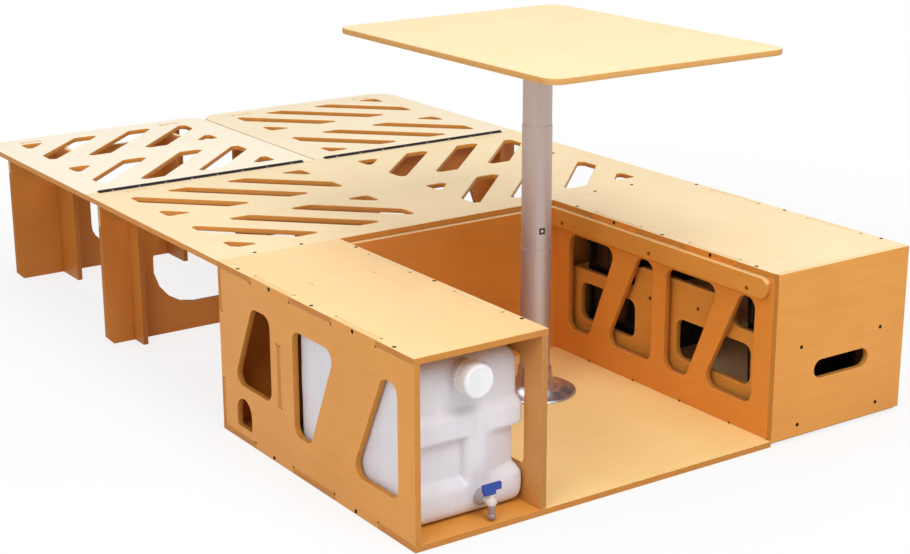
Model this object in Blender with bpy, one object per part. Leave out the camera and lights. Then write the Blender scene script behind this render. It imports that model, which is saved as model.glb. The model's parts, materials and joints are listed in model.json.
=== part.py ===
"""Campervan kitchen pod: two low plywood boxes on one floor, with a slatted folding bed behind them.

The left box holds a water canister, the right box a kitchen drawer, and the bay between
them a table on a telescopic post. Every board is cut from one thickness of plywood and
slots into its neighbours. Lengths are in metres, +Z is up and +Y runs from the front of the
boxes to the foot of the bed. Places are measured from the left front floor corner, and the
empty unit_origin moves the whole unit so that the world origin lies under its middle.
"""

import math
from collections import namedtuple

import bmesh
import bpy
from mathutils import Matrix, Vector

# Driving dimensions of the whole unit
UNIT_WIDTH = 1.150
UNIT_LENGTH = 1.910
BOX_DEPTH = 0.680
BOX_HEIGHT = 0.340
LEFT_BOX_WIDTH = 0.270
RIGHT_BOX_WIDTH = 0.347
NEAR_BED_SHARE = 0.50407
TABLE_HEIGHT = 0.760
PLY = 0.012
FIT = 0.0003
MERGE = FIT / 100

# Finger joints between the sides and the floor and tops
FINGER_SHARE = 0.2132
FIRST_FINGER_SHARE = 0.170
RELIEF_RADIUS = 0.0026
REAR_TAB_SHARES = (0.315, 0.715)

# Trapezoid windows of the box sides: upright edge, top and bottom ends of the slanted edge
LEFT_WINDOW_SHARES = (
    (0.707, 0.806, 0.924, 0.332),
    (0.585, 0.365, 0.500, 0.228),
    (0.075, 0.144, 0.294, 0.215),
)
RIGHT_WINDOW_SHARES = (
    (0.918, 0.690, 0.815, 0.200),
    (0.519, 0.588, 0.735, 0.200),
    (0.461, 0.232, 0.362, 0.200),
    (0.088, 0.147, 0.294, 0.200),
)
WINDOW_HEAD_SHARE = 0.821
WINDOW_RADIUS = 0.022
CABLE_HOLE_SHARES = (0.827, 0.913, 0.080)
CABLE_HOLE_HEIGHT = 0.060

# Divider behind the canister
DIVIDER_Y = 0.444
DIVIDER_SIDE_TAB = (0.115, 0.235)
DIVIDER_TOP_TAB = (0.072, 0.203)

# Cleats that carry the lowered table and the near bed panel
CLEAT_HEIGHT = 0.040
CLEAT_SET_BACK = 0.020
CLEAT_END_RADIUS = 0.018

# Slatted fields of the bed
FIELD_EDGE = 0.069
FIELD_MIDDLE = 0.150
FIELD_FRONT = 0.0625
FIELD_GAP = 0.085
SLAT_SLOT_SHARE = 0.222
SLAT_PITCH_SHARE = 0.162
SLAT_SLOT_COUNT = 3
SLAT_SLOT_RADIUS = 0.010
SLAT_CORNER_SHARE = 0.300
SLAT_CORNER_RADIUS = 0.008
PANEL_CORNER_RADIUS = 0.055
PANEL_GAP = 0.003
HINGE_SEAM = 0.0005

# Piano hinges between the near panel and the folding panels
HINGE_START_SHARES = (0.0261, 0.5217)
HINGE_LENGTH_SHARE = 0.4443
HINGE_LEAF = 0.0100
HINGE_PLATE = 0.0014
HINGE_KNUCKLE_RADIUS = 0.0025
HINGE_PIN_RADIUS = 0.0009
HINGE_KNUCKLES = 9
HINGE_SIDE_PLAY = 0.0005

# Near leg: one board across the unit with two round-ended openings
NEAR_LEG_EDGE = 0.018
NEAR_LEG_SET_BACK = 0.030
NEAR_LEG_CHAMFER = 0.016
NEAR_OPENING_START = 0.136
NEAR_OPENING_SILL = 0.063
NEAR_OPENING_HEIGHT = 0.200
NEAR_POST_WIDTH = 0.140
NEAR_TAB_START = 0.086
NEAR_TAB_LENGTH = 0.045
NEAR_FIN_X = 0.083
NEAR_FIN_FRONT = 0.045
NEAR_FIN_BACK = 0.014

# Far legs: one board with a window and two fins under each folding panel
FAR_LEG_INSET = 0.042
FAR_LEG_MIDDLE = 0.077
FAR_LEG_SET_BACK = 0.048
FAR_LEG_RAIL_DROP = 0.022
FAR_LEG_CHAMFER = 0.015
FAR_WINDOW_SHARES = (0.4408, 0.7851)
FAR_WINDOW_HEIGHTS = (0.062, 0.270)
FAR_WINDOW_RADIUS = 0.045
FAR_TAB_SHARES = (0.1283, 0.9408)
FAR_TAB_LENGTH = 0.046
FAR_SHOULDER = 0.010
FAR_FIN_SHARES = (0.2588, 0.8925)
FAR_FIN_FRONT = 0.092
FAR_FIN_BACK = 0.024
FAR_TAB_PLAY = 0.0006

# Table, its telescopic post and the floor flange
TABLE_EDGE_GAP = 0.002
TABLE_CORNER_RADIUS = 0.030
POST_SHARES = (0.52348, 0.700)
TUBE_WALL = 0.0007
LOWER_TUBE_RADIUS = 0.0308
MIDDLE_TUBE_RADIUS = 0.0298
UPPER_TUBE_RADIUS = 0.0288
LOWER_TUBE_TOP = 0.317
MIDDLE_TUBE_ENDS = (0.265, 0.565)
UPPER_TUBE_FOOT = 0.438
FLANGE_RADIUS = 0.085
FLANGE_HEIGHT = 0.055
FLANGE_RIM = 0.003
FLANGE_SHARES = ((0.70, 0.10), (0.36, 0.40), (0.14, 0.80), (0.04, 1.00))
TABLE_FLANGE_RADIUS = 0.065
TABLE_FLANGE_HUB = 0.038
TABLE_FLANGE_PLATE = 0.003
TABLE_FLANGE_DEPTH = 0.0092
BUTTON_ANGLE = math.radians(-103.5)
BUTTON_SPREAD = math.radians(22.0)
BUTTON_Z = 0.3495
BUTTON_HEIGHT = 0.012
BUTTON_WALL = 0.0010
BUTTON_PLAY = 0.0004
UPPER_SLOT_TOP = 0.535
UPPER_SLOT_WIDTH = 0.0145

# Water canister, cap and tap
CANISTER_X = 0.0145
CANISTER_Y = 0.045
CANISTER_WIDTH = 0.242
CANISTER_DEPTH = 0.358
CANISTER_HEIGHT = 0.2927
CANISTER_CORNER = 0.024
CANISTER_LEAST_CORNER = 0.012
CANISTER_LEVEL_SHARES = (
    (0.000, 1.00, 1.00),
    (0.022, 0.40, 0.40),
    (0.065, 0.00, 0.00),
    (0.195, 0.00, 0.00),
    (0.250, 1.00, 0.40),
    (0.470, 1.00, 0.40),
    (0.520, 0.00, 0.00),
    (0.650, 0.00, 0.00),
    (0.715, 0.60, 0.25),
    (0.880, 0.60, 0.25),
    (0.950, 0.95, 0.70),
    (0.988, 2.00, 1.80),
    (1.000, 3.20, 3.00),
)
CANISTER_WAIST = 0.017
RIB_START = 0.137
RIB_WIDTH = 0.038
RIB_PROUD = 0.003
RIB_ENDS = (0.066, 0.180)
CAP_X = 0.137
CAP_Z = 0.269
CAP_RADIUS = 0.031
CAP_LENGTH = 0.034
CAP_FRONT = 0.010
CAP_WALL = 0.004
CAP_BEVEL = 0.003
NECK_RADIUS = 0.0255
TAP_X = 0.164
TAP_Y = 0.014
TAP_Z = 0.046
TAP_TUBE_RADIUS = 0.0085
TAP_FRONT = 0.006
SPOUT_RADIUS = 0.0068
SPOUT_FOOT = 0.0165
STEM_RADIUS = 0.0055
STEM_TOP = 0.0595
COLLAR_RADIUS = 0.0145
COLLAR_LENGTH = 0.013
LEVER_SPAN = 0.038
LEVER_THICKNESS = 0.007
LEVER_NECK = 0.012
LEVER_NECK_HEIGHT = 0.006
LEVER_HEIGHT = 0.020
LEVER_RADIUS = 0.004

# Kitchen drawer in the right box
DRAWER_FRONT_FOOT = 0.008
HANDLE_CENTRE_SHARE = 0.5101
HANDLE_LENGTH = 0.146
HANDLE_Z = 0.114
HANDLE_HEIGHT = 0.038
SLIDE_SPACE = 0.0127
DRAWER_END_Y = 0.650
DRAWER_SIDE_FOOT = 0.020
DRAWER_SIDE_TOP = 0.200
DRAWER_BRIDGE_TOP = 0.250
DRAWER_BRIDGE = (0.145, 0.435)
DRAWER_BRIDGE_RADIUS = 0.020
DRAWER_WINDOWS = ((0.090, 0.305), (0.433, 0.612))
DRAWER_WINDOW_SILL = 0.090
DRAWER_WINDOW_HEAD = 0.172
DRAWER_BOTTOM_Z = 0.025
DRAWER_SHELF_Z = 0.181
DRAWER_RAIL_DEPTH = 0.040
CRATE_GAP = 0.005
CRATE_WALL = 0.0025
CRATE_TOP = 0.280
CRATE_SPANS = ((0.058, 0.141), (0.441, 0.632))
CRATE_CORNER = 0.015
CRATE_TAPER = 0.006
CRATE_RIM = 0.004
CRATE_RIM_HEIGHT = 0.012
SLIDE_START = 0.045
SLIDE_LENGTH = 0.590
SLIDE_HEIGHT = 0.045
SLIDE_SHEET = 0.0013
SLIDE_CLEAR = 0.0008
SLIDE_LIP = 0.0080

# Facets of the curves
QUARTER = math.pi / 2
ARC_STEP = math.radians(20.0)
SLOT_STEP = math.radians(33.0)
CORNER_STEP = math.radians(46.0)
RELIEF_STEP = math.radians(68.0)
BARREL_SIDES = 8
TUBE_STEPS = 28
CAP_STEPS = 24
TAP_STEPS = 12

# Colours: linear RGB, roughness, metallic
PLY_LOOK = ((0.62, 0.36, 0.14), 0.55, 0.0)
PALE_PLY_LOOK = ((0.80, 0.56, 0.29), 0.50, 0.0)
STEEL_LOOK = ((0.55, 0.55, 0.56), 0.30, 1.0)
ZINC_LOOK = ((0.42, 0.42, 0.44), 0.40, 1.0)
BLACK_STEEL_LOOK = ((0.030, 0.028, 0.032), 0.45, 0.6)
DARK_STEEL_LOOK = ((0.10, 0.085, 0.075), 0.45, 0.8)
ALUMINIUM_LOOK = ((0.50, 0.46, 0.44), 0.35, 1.0)
CHROME_LOOK = ((0.70, 0.70, 0.72), 0.12, 1.0)
CANISTER_LOOK = ((0.72, 0.72, 0.76), 0.45, 0.0)
CAP_LOOK = ((0.80, 0.80, 0.82), 0.40, 0.0)
GREY_LOOK = ((0.45, 0.46, 0.50), 0.40, 0.0)
BLUE_LOOK = ((0.010, 0.050, 0.40), 0.35, 0.0)
CRATE_LOOK = ((0.012, 0.012, 0.013), 0.50, 0.0)

# Lines that several boards share
RIGHT_BOX_X = UNIT_WIDTH - RIGHT_BOX_WIDTH
DECK_Z = BOX_HEIGHT - PLY
REAR_Y = BOX_DEPTH - PLY
NEAR_BED_DEPTH = (UNIT_LENGTH - BOX_DEPTH) * NEAR_BED_SHARE
HINGE_Y = BOX_DEPTH + NEAR_BED_DEPTH
HINGE_Z = BOX_HEIGHT + FIT + HINGE_KNUCKLE_RADIUS
FINGER = BOX_DEPTH * FINGER_SHARE
CUT = PLY + FIT
RIGHT_FRONT_Y = PLY + FIT
MIDDLE_X = UNIT_WIDTH / 2
HINGE_LENGTH = UNIT_WIDTH * HINGE_LENGTH_SHARE
FIELD_WIDTH = MIDDLE_X - FIELD_EDGE - FIELD_MIDDLE / 2
FIELD_DEPTH = (NEAR_BED_DEPTH - 2 * FIELD_FRONT - FIELD_GAP) / 2
FAR_FIELD_FRONT = (UNIT_LENGTH - HINGE_Y - 2 * FIELD_DEPTH - FIELD_GAP) / 2
SLAT_SLOT = FIELD_DEPTH * SLAT_SLOT_SHARE
SLAT_CORNER_LEG = FIELD_DEPTH * SLAT_CORNER_SHARE
NEAR_LEG_Y = HINGE_Y - NEAR_LEG_SET_BACK
FAR_LEG_Y = UNIT_LENGTH - FAR_LEG_SET_BACK
FAR_LEG_START = FAR_LEG_INSET
FAR_LEG_LENGTH = MIDDLE_X - FAR_LEG_INSET - FAR_LEG_MIDDLE
FAR_TAB_CENTRES = tuple(FAR_LEG_START + FAR_LEG_LENGTH * share for share in FAR_TAB_SHARES)
FAR_FIN_STARTS = tuple(FAR_LEG_START + FAR_LEG_LENGTH * share for share in FAR_FIN_SHARES)
FAR_WINDOW_SPAN = tuple(FAR_LEG_START + FAR_LEG_LENGTH * share for share in FAR_WINDOW_SHARES)
POST_X = UNIT_WIDTH * POST_SHARES[0]
POST_Y = BOX_DEPTH * POST_SHARES[1]
HANDLE_START = RIGHT_BOX_X + RIGHT_BOX_WIDTH * HANDLE_CENTRE_SHARE - HANDLE_LENGTH / 2
HALF_HEIGHT = DECK_Z / 2
FINGER_ENDS = tuple(BOX_DEPTH * FIRST_FINGER_SHARE + FINGER * index for index in range(4))
TAB_SPANS = ((0.0, FINGER_ENDS[0]), FINGER_ENDS[1:3], (FINGER_ENDS[3], BOX_DEPTH))
SIDE_SPANS = (FINGER_ENDS[0:2], FINGER_ENDS[2:4])
REAR_TAB_HEIGHTS = tuple(BOX_HEIGHT * share for share in REAR_TAB_SHARES)

# Rotations that stand a flat board upright
FLAT = (0.0, 0.0, 0.0)
FACING_SIDE = (QUARTER, 0.0, QUARTER)
FACING_FRONT = (QUARTER, 0.0, 0.0)
ORIGIN = Vector((0.0, 0.0, 0.0))

Frame = namedtuple("Frame", "empty at")


def make_frame(name, at):
    """Add an empty at a place of the unit; pieces that move together hang from one."""
    empty = bpy.data.objects.new(name, None)
    bpy.context.scene.collection.objects.link(empty)
    empty.empty_display_size = PLY
    return Frame(empty, Vector(at))


def hang_frame(name, at, parent):
    """Add an empty below another one."""
    frame = make_frame(name, at)
    frame.empty.parent = parent.empty
    frame.empty.location = frame.at - parent.at
    return frame


def colour_piece(piece, look):
    """Give a piece its own material."""
    colour, roughness, metallic = look
    finish = bpy.data.materials.new(piece.name + "_finish")
    finish.use_nodes = True
    shader = finish.node_tree.nodes["Principled BSDF"]
    shader.inputs["Base Color"].default_value = (*colour, 1.0)
    shader.inputs["Roughness"].default_value = roughness
    shader.inputs["Metallic"].default_value = metallic
    piece.data.materials.clear()
    piece.data.materials.append(finish)


def add_piece(name, mesh, at, frame, look, turn=FLAT):
    """Place a mesh at a point of the unit, below the empty of its frame."""
    piece = bpy.data.objects.new(name, mesh)
    bpy.context.scene.collection.objects.link(piece)
    piece.parent = frame.empty
    piece.location = Vector(at) - frame.at
    piece.rotation_euler = turn
    colour_piece(piece, look)
    return piece


def finished_mesh(name, bm):
    """Turn a bmesh into a mesh whose faces all point outwards."""
    bmesh.ops.recalc_face_normals(bm, faces=bm.faces[:])
    if bm.calc_volume(signed=True) < 0.0:
        bmesh.ops.reverse_faces(bm, faces=bm.faces[:])
    mesh = bpy.data.meshes.new(name)
    bm.to_mesh(mesh)
    bm.free()
    return mesh


def smooth_mesh(mesh):
    """Shade the round faces smooth and keep the edges between flat ones sharp."""
    mesh.shade_smooth()
    mesh.set_sharp_from_angle(angle=math.radians(35.0))


def arc_points(centre, radius, start, sweep, step):
    """Points on an arc, both ends included."""
    count = max(1, math.ceil(abs(sweep) / step - MERGE))
    points = []
    for index in range(count + 1):
        angle = start + sweep * index / count
        points.append(centre + Vector((math.cos(angle), math.sin(angle))) * radius)
    return points


def corner_parts(points):
    """Each corner with the directions of the edges into it and out of it."""
    parts = []
    for index, here in enumerate(points):
        before = points[index - 1]
        after = points[(index + 1) % len(points)]
        parts.append((here, (here - before).normalized(), (after - here).normalized()))
    return parts


def turn_between(into, out):
    """Signed turn from one direction to the next, positive to the left."""
    return math.atan2(into.x * out.y - into.y * out.x, into.dot(out))


def relieve(points, side):
    """Cut a round cutter relief at each corner that turns to one side."""
    path = []
    for here, into, out in corner_parts(points):
        turn = turn_between(into, out)
        if turn * side <= 0.0:
            path.append(here)
            continue
        start = math.atan2(-into.y, -into.x)
        sweep = side * (math.pi + abs(turn))
        path.extend(arc_points(here, RELIEF_RADIUS, start, sweep, RELIEF_STEP))
    return path


def round_corners(points, radii, step=ARC_STEP):
    """Round each corner by its own radius; a radius of zero leaves it sharp."""
    path = []
    for (here, into, out), radius in zip(corner_parts(points), radii):
        turn = turn_between(into, out)
        if radius == 0.0 or turn == 0.0:
            path.append(here)
            continue
        reach = radius * math.tan(abs(turn) / 2)
        side = math.copysign(1.0, turn)
        normal = Vector((-into.y, into.x)) * side
        centre = here - into * reach + normal * radius
        start = math.atan2(-normal.y, -normal.x)
        path.extend(arc_points(centre, radius, start, turn, step))
    return path


def rectangle(left, right, foot, head):
    """Corners of a rectangle, anticlockwise."""
    return [Vector((left, foot)), Vector((right, foot)), Vector((right, head)), Vector((left, head))]


def rounded_rectangle(left, right, foot, head, radius):
    """Rectangle with four equal round corners."""
    return round_corners(rectangle(left, right, foot, head), [radius] * 4)


def slot_hole(left, right, foot, head):
    """Rectangular slot with a cutter relief at each corner."""
    return relieve(rectangle(left, right, foot, head), 1)


def anticlockwise(points):
    """Put a polygon's corners in anticlockwise order."""
    area = sum(a.x * b.y - b.x * a.y for a, b in zip(points, points[1:] + points[:1]))
    return points if area > 0.0 else points[::-1]


def window_hole(shares):
    """Trapezoid window with one upright edge and one slanted edge."""
    upright, slant_top, slant_foot, sill = shares
    head_z = BOX_HEIGHT * WINDOW_HEAD_SHARE
    sill_z = BOX_HEIGHT * sill
    corners = [
        Vector((BOX_DEPTH * upright, sill_z)),
        Vector((BOX_DEPTH * slant_foot, sill_z)),
        Vector((BOX_DEPTH * slant_top, head_z)),
        Vector((BOX_DEPTH * upright, head_z)),
    ]
    return round_corners(anticlockwise(corners), [WINDOW_RADIUS] * 4)


def edge_path(start, along, inward, length, cuts):
    """Corners along one edge whose cuts are (start, end, depth), without the two end corners."""
    path = []
    for begin, end, depth in sorted(cuts):
        low = start + along * begin
        high = start + along * end
        if begin > 0.0:
            path.extend([low, low + inward * depth])
        if end < length:
            path.extend([high + inward * depth, high])
    return path


def depth_at(cuts, place):
    """Depth of the cut that takes in one end of an edge, or zero."""
    for begin, end, depth in cuts:
        if begin <= place <= end:
            return depth
    return 0.0


def notched_board(left, right, foot, head, foot_cuts=(), right_cuts=(), head_cuts=(), left_cuts=()):
    """Rectangle with cuts in its edges, given as (low, high, depth) in board coordinates."""
    wide = right - left
    tall = head - foot
    runs = (
        (Vector((left, foot)), Vector((1, 0)), wide, [(a - left, b - left, d) for a, b, d in foot_cuts]),
        (Vector((right, foot)), Vector((0, 1)), tall, [(a - foot, b - foot, d) for a, b, d in right_cuts]),
        (Vector((right, head)), Vector((-1, 0)), wide, [(right - b, right - a, d) for a, b, d in head_cuts]),
        (Vector((left, head)), Vector((0, -1)), tall, [(head - b, head - a, d) for a, b, d in left_cuts]),
    )
    path = []
    for index, (start, along, length, cuts) in enumerate(runs):
        inward = Vector((-along.y, along.x))
        _, last_along, last_length, last_cuts = runs[index - 1]
        last_inward = Vector((-last_along.y, last_along.x))
        corner = start + inward * depth_at(cuts, 0.0)
        path.append(corner + last_inward * depth_at(last_cuts, last_length))
        path.extend(edge_path(start, along, inward, length, cuts))
    return path


def board_mesh(name, rings, thickness):
    """Fill a set of closed outlines, holes among them, and extrude the result along +Z."""
    bm = bmesh.new()
    for ring in rings:
        corners = [bm.verts.new((point.x, point.y, 0.0)) for point in ring]
        for index, corner in enumerate(corners):
            bm.edges.new((corners[index - 1], corner))
    bmesh.ops.triangle_fill(bm, use_beauty=True, use_dissolve=False, edges=bm.edges[:])
    raised = bmesh.ops.extrude_face_region(bm, geom=bm.faces[:])
    moved = [item for item in raised["geom"] if isinstance(item, bmesh.types.BMVert)]
    bmesh.ops.translate(bm, vec=(0.0, 0.0, thickness), verts=moved)
    return finished_mesh(name, bm)


def flat_board(name, outline, holes, z, frame, look, thickness=PLY):
    """Board lying flat, drawn in (x, y)."""
    mesh = board_mesh(name, [outline] + list(holes), thickness)
    return add_piece(name, mesh, (0.0, 0.0, z), frame, look, FLAT)


def side_board(name, outline, holes, x, frame, look, thickness=PLY):
    """Board standing along the unit, drawn in (y, z)."""
    mesh = board_mesh(name, [outline] + list(holes), thickness)
    return add_piece(name, mesh, (x, 0.0, 0.0), frame, look, FACING_SIDE)


def front_board(name, outline, holes, y, frame, look, thickness=PLY):
    """Board standing across the unit, drawn in (x, z); y is its front face."""
    mesh = board_mesh(name, [outline] + list(holes), thickness)
    return add_piece(name, mesh, (0.0, y + thickness, 0.0), frame, look, FACING_FRONT)


def add_cylinder(bm, start, end, radius, sides):
    """Add a capped cylinder between two points to a bmesh."""
    along = Vector(end) - Vector(start)
    place = Matrix.Translation((Vector(start) + Vector(end)) / 2)
    turn = along.to_track_quat("Z", "Y").to_matrix().to_4x4()
    half_step = Matrix.Rotation(math.pi / sides, 4, "Z")
    bmesh.ops.create_cone(
        bm, cap_ends=True, segments=sides, radius1=radius, radius2=radius,
        depth=along.length, matrix=place @ turn @ half_step)


def turned_mesh(name, profile, closed, steps):
    """Spin a profile of (radius, height) points about +Z."""
    bm = bmesh.new()
    points = [bm.verts.new((radius, 0.0, z)) for radius, z in profile]
    edges = [bm.edges.new(pair) for pair in zip(points, points[1:])]
    if closed:
        edges.append(bm.edges.new((points[-1], points[0])))
    bmesh.ops.spin(
        bm, geom=points + edges, cent=(0, 0, 0), axis=(0, 0, 1),
        angle=2 * math.pi, steps=steps, use_merge=True)
    bmesh.ops.remove_doubles(bm, verts=bm.verts[:], dist=MERGE)
    mesh = finished_mesh(name, bm)
    smooth_mesh(mesh)
    return mesh


def lofted_mesh(name, rings):
    """Skin drawn through rings of equal counts, with the first and last ring filled."""
    bm = bmesh.new()
    corners = [bm.verts.new(point) for point in rings[0]]
    loop = [bm.edges.new((corners[k - 1], corners[k])) for k in range(len(corners))]
    ends = [loop]
    for ring in rings[1:]:
        drawn = bmesh.ops.extrude_edge_only(bm, edges=loop)["geom"]
        fresh = {tuple(item.co): item for item in drawn if isinstance(item, bmesh.types.BMVert)}
        corners = [fresh[tuple(corner.co)] for corner in corners]
        loop = [bm.edges.get((corners[k - 1], corners[k])) for k in range(len(corners))]
        for corner, point in zip(corners, ring):
            corner.co = point
    ends.append(loop)
    for end in ends:
        bmesh.ops.edgeloop_fill(bm, edges=end)
    return finished_mesh(name, bm)


def add_cutter(name, mesh, at, frame, turn=FLAT):
    """Place a mesh that only serves a Boolean."""
    tool = bpy.data.objects.new(name, mesh)
    bpy.context.scene.collection.objects.link(tool)
    tool.parent = frame.empty
    tool.location = Vector(at) - frame.at
    tool.rotation_euler = turn
    tool.hide_render = True
    tool.display_type = "WIRE"
    return tool


def add_boolean(piece, tool, operation):
    """Cut or join a piece with a guide object."""
    step = piece.modifiers.new(tool.name, "BOOLEAN")
    step.operation = operation
    step.solver = "EXACT"
    step.object = tool
    return step


def build_base(unit):
    """Floor that both boxes stand on; the sides' tabs pass down through it."""
    outline = notched_board(
        0.0, UNIT_WIDTH, 0.0, BOX_DEPTH,
        foot_cuts=[(RIGHT_BOX_X - FIT, UNIT_WIDTH, RIGHT_FRONT_Y)],
        right_cuts=[(start, end, CUT) for start, end in SIDE_SPANS],
        left_cuts=[(start, end, CUT) for start, end in SIDE_SPANS])
    holes = []
    for left in (LEFT_BOX_WIDTH - PLY, RIGHT_BOX_X):
        for start, end in SIDE_SPANS:
            holes.append(slot_hole(left - FIT, left + PLY + FIT, start, end))
    flat_board("base_panel", relieve(outline, -1), holes, 0.0, unit, PALE_PLY_LOOK)


def build_rear_panel(unit):
    """Back of both boxes and of the bay, tabbed through the outer sides."""
    low, high = REAR_TAB_HEIGHTS
    outline = notched_board(
        0.0, UNIT_WIDTH, CUT, DECK_Z - FIT,
        right_cuts=[(low - FIT, high + FIT, CUT)],
        left_cuts=[(low - FIT, high + FIT, CUT)])
    front_board("rear_panel", relieve(outline, -1), [], REAR_Y, unit, PLY_LOOK)


def side_outline(front, back, rear_tabs):
    """Outline of a box side in (y, z), with its fingers and rear slots."""
    cuts = []
    for start, end in TAB_SPANS:
        low = start - FIT
        high = end + FIT
        if start == 0.0:
            low = front
        if end == BOX_DEPTH:
            high = back
        cuts.append((low, high, CUT))
    rear_cuts = []
    if rear_tabs:
        low, high = REAR_TAB_HEIGHTS
        rear_cuts = [(0.0, low, CUT), (high, BOX_HEIGHT, CUT)]
    outline = notched_board(
        front, back, 0.0, BOX_HEIGHT, foot_cuts=cuts, head_cuts=cuts, right_cuts=rear_cuts)
    return relieve(outline, -1)


def cable_hole():
    """Arched opening low in the rear part of the left side."""
    start, end, sill = CABLE_HOLE_SHARES
    left = BOX_DEPTH * start
    right = BOX_DEPTH * end
    foot = BOX_HEIGHT * sill
    centre = Vector(((left + right) / 2, foot + CABLE_HOLE_HEIGHT - (right - left) / 2))
    arch = arc_points(centre, (right - left) / 2, 0.0, math.pi, ARC_STEP)
    corner = CLEAT_END_RADIUS / 3
    feet = round_corners([Vector((left, foot)), Vector((right, foot))] + [arch[0], arch[-1]],
                         [corner, corner, 0.0, 0.0])
    return feet[:-2] + arch


def build_box_sides(unit):
    """The four sides, with their windows."""
    left_windows = [window_hole(shares) for shares in LEFT_WINDOW_SHARES]
    right_windows = [window_hole(shares) for shares in RIGHT_WINDOW_SHARES]
    slot = slot_hole(DIVIDER_Y - FIT, DIVIDER_Y + PLY + FIT, *DIVIDER_SIDE_TAB)
    side_board(
        "left_box_outer_side", side_outline(0.0, BOX_DEPTH, True),
        left_windows + [slot, cable_hole()], 0.0, unit, PLY_LOOK)
    side_board(
        "left_box_inner_side", side_outline(0.0, REAR_Y - FIT, False),
        left_windows[1:], LEFT_BOX_WIDTH - PLY, unit, PLY_LOOK)
    side_board(
        "right_box_inner_side", side_outline(RIGHT_FRONT_Y, REAR_Y - FIT, False),
        right_windows, RIGHT_BOX_X, unit, PLY_LOOK)
    side_board(
        "right_box_outer_side", side_outline(RIGHT_FRONT_Y, BOX_DEPTH, True),
        right_windows, UNIT_WIDTH - PLY, unit, PLY_LOOK)


def build_box_tops(unit):
    """Tops of the boxes, notched for the sides' tabs."""
    spans = (
        ("left_box_top", 0.0, LEFT_BOX_WIDTH, 0.0),
        ("right_box_top", RIGHT_BOX_X, UNIT_WIDTH, RIGHT_FRONT_Y),
    )
    for name, left, right, front in spans:
        cuts = [(start, end, CUT) for start, end in SIDE_SPANS]
        outline = notched_board(left, right, front, BOX_DEPTH, right_cuts=cuts, left_cuts=cuts)
        holes = []
        if left == 0.0:
            holes.append(slot_hole(*DIVIDER_TOP_TAB, DIVIDER_Y - FIT, DIVIDER_Y + PLY + FIT))
        flat_board(name, relieve(outline, -1), holes, DECK_Z, unit, PALE_PLY_LOOK)


def build_divider(unit):
    """Wall behind the canister, tabbed through the outer side and the top."""
    side_low, side_high = DIVIDER_SIDE_TAB
    top_low, top_high = DIVIDER_TOP_TAB
    right = LEFT_BOX_WIDTH - PLY - FIT
    outline = notched_board(
        0.0, right, CUT, BOX_HEIGHT,
        left_cuts=[(CUT, side_low + FIT, CUT), (side_high - FIT, BOX_HEIGHT, CUT)],
        head_cuts=[(0.0, top_low + FIT, CUT), (top_high - FIT, right, CUT)])
    front_board("left_box_divider", relieve(outline, -1), [], DIVIDER_Y, unit, PLY_LOOK)


def build_cleats(unit):
    """Strips along the bay and behind the rear panel that carry the table and the bed."""
    foot = DECK_Z - CLEAT_HEIGHT
    back = REAR_Y - FIT
    radii = [CLEAT_END_RADIUS, 0.0, 0.0, CLEAT_END_RADIUS]
    outline = round_corners(rectangle(CLEAT_SET_BACK, back, foot, DECK_Z - FIT), radii)
    side_board("left_bay_cleat", outline, [], LEFT_BOX_WIDTH + FIT, unit, PLY_LOOK)
    side_board("right_bay_cleat", outline, [], RIGHT_BOX_X - FIT - PLY, unit, PLY_LOOK)
    bar = rectangle(NEAR_LEG_EDGE, UNIT_WIDTH - NEAR_LEG_EDGE, foot, DECK_Z - FIT)
    front_board("bed_cleat", bar, [], BOX_DEPTH + FIT, unit, PLY_LOOK)


def clip_polygon(points, normal, limit):
    """Keep the part of a convex polygon whose distance along a normal is under a limit."""
    kept = []
    for here, after in zip(points, points[1:] + points[:1]):
        here_over = here.dot(normal) - limit
        after_over = after.dot(normal) - limit
        if here_over <= 0.0:
            kept.append(here)
        if here_over * after_over < 0.0:
            kept.append(here.lerp(after, here_over / (here_over - after_over)))
    return kept


def slat_holes(left, front, rising):
    """Diagonal slots and the two corner triangles of one bed field."""
    right = left + FIELD_WIDTH
    back = front + FIELD_DEPTH
    field = rectangle(left, right, front, back)
    normal = Vector((1, -1)).normalized() if rising else Vector((1, 1)).normalized()
    middle = Vector(((left + right) / 2, (front + back) / 2)).dot(normal)
    pitch = (FIELD_WIDTH + FIELD_DEPTH) * SLAT_PITCH_SHARE
    holes = []
    for index in range(SLAT_SLOT_COUNT):
        centre = middle + (index - (SLAT_SLOT_COUNT - 1) / 2) * pitch
        strip = clip_polygon(field, normal, centre + SLAT_SLOT / 2)
        strip = clip_polygon(strip, -normal, SLAT_SLOT / 2 - centre)
        strip = [
            here for here, after in zip(strip, strip[1:] + strip[:1])
            if (after - here).length > SLAT_SLOT_RADIUS]
        holes.append(round_corners(strip, [SLAT_SLOT_RADIUS] * len(strip), SLOT_STEP))
    leg = SLAT_CORNER_LEG
    if rising:
        corners = ((left, back, leg, -leg), (right, front, -leg, leg))
    else:
        corners = ((left, front, leg, leg), (right, back, -leg, -leg))
    for x, y, step_x, step_y in corners:
        triangle = [Vector((x, y)), Vector((x + step_x, y)), Vector((x, y + step_y))]
        holes.append(round_corners(anticlockwise(triangle), [SLAT_CORNER_RADIUS] * 3, CORNER_STEP))
    return holes


def field_lefts():
    """Left edges of the two fields of a bed row."""
    return (FIELD_EDGE, UNIT_WIDTH - FIELD_EDGE - FIELD_WIDTH)


def mirror_spans(spans):
    """The spans and their mirror images across the middle of the unit."""
    return list(spans) + [(UNIT_WIDTH - end, UNIT_WIDTH - start) for start, end in spans]


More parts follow.
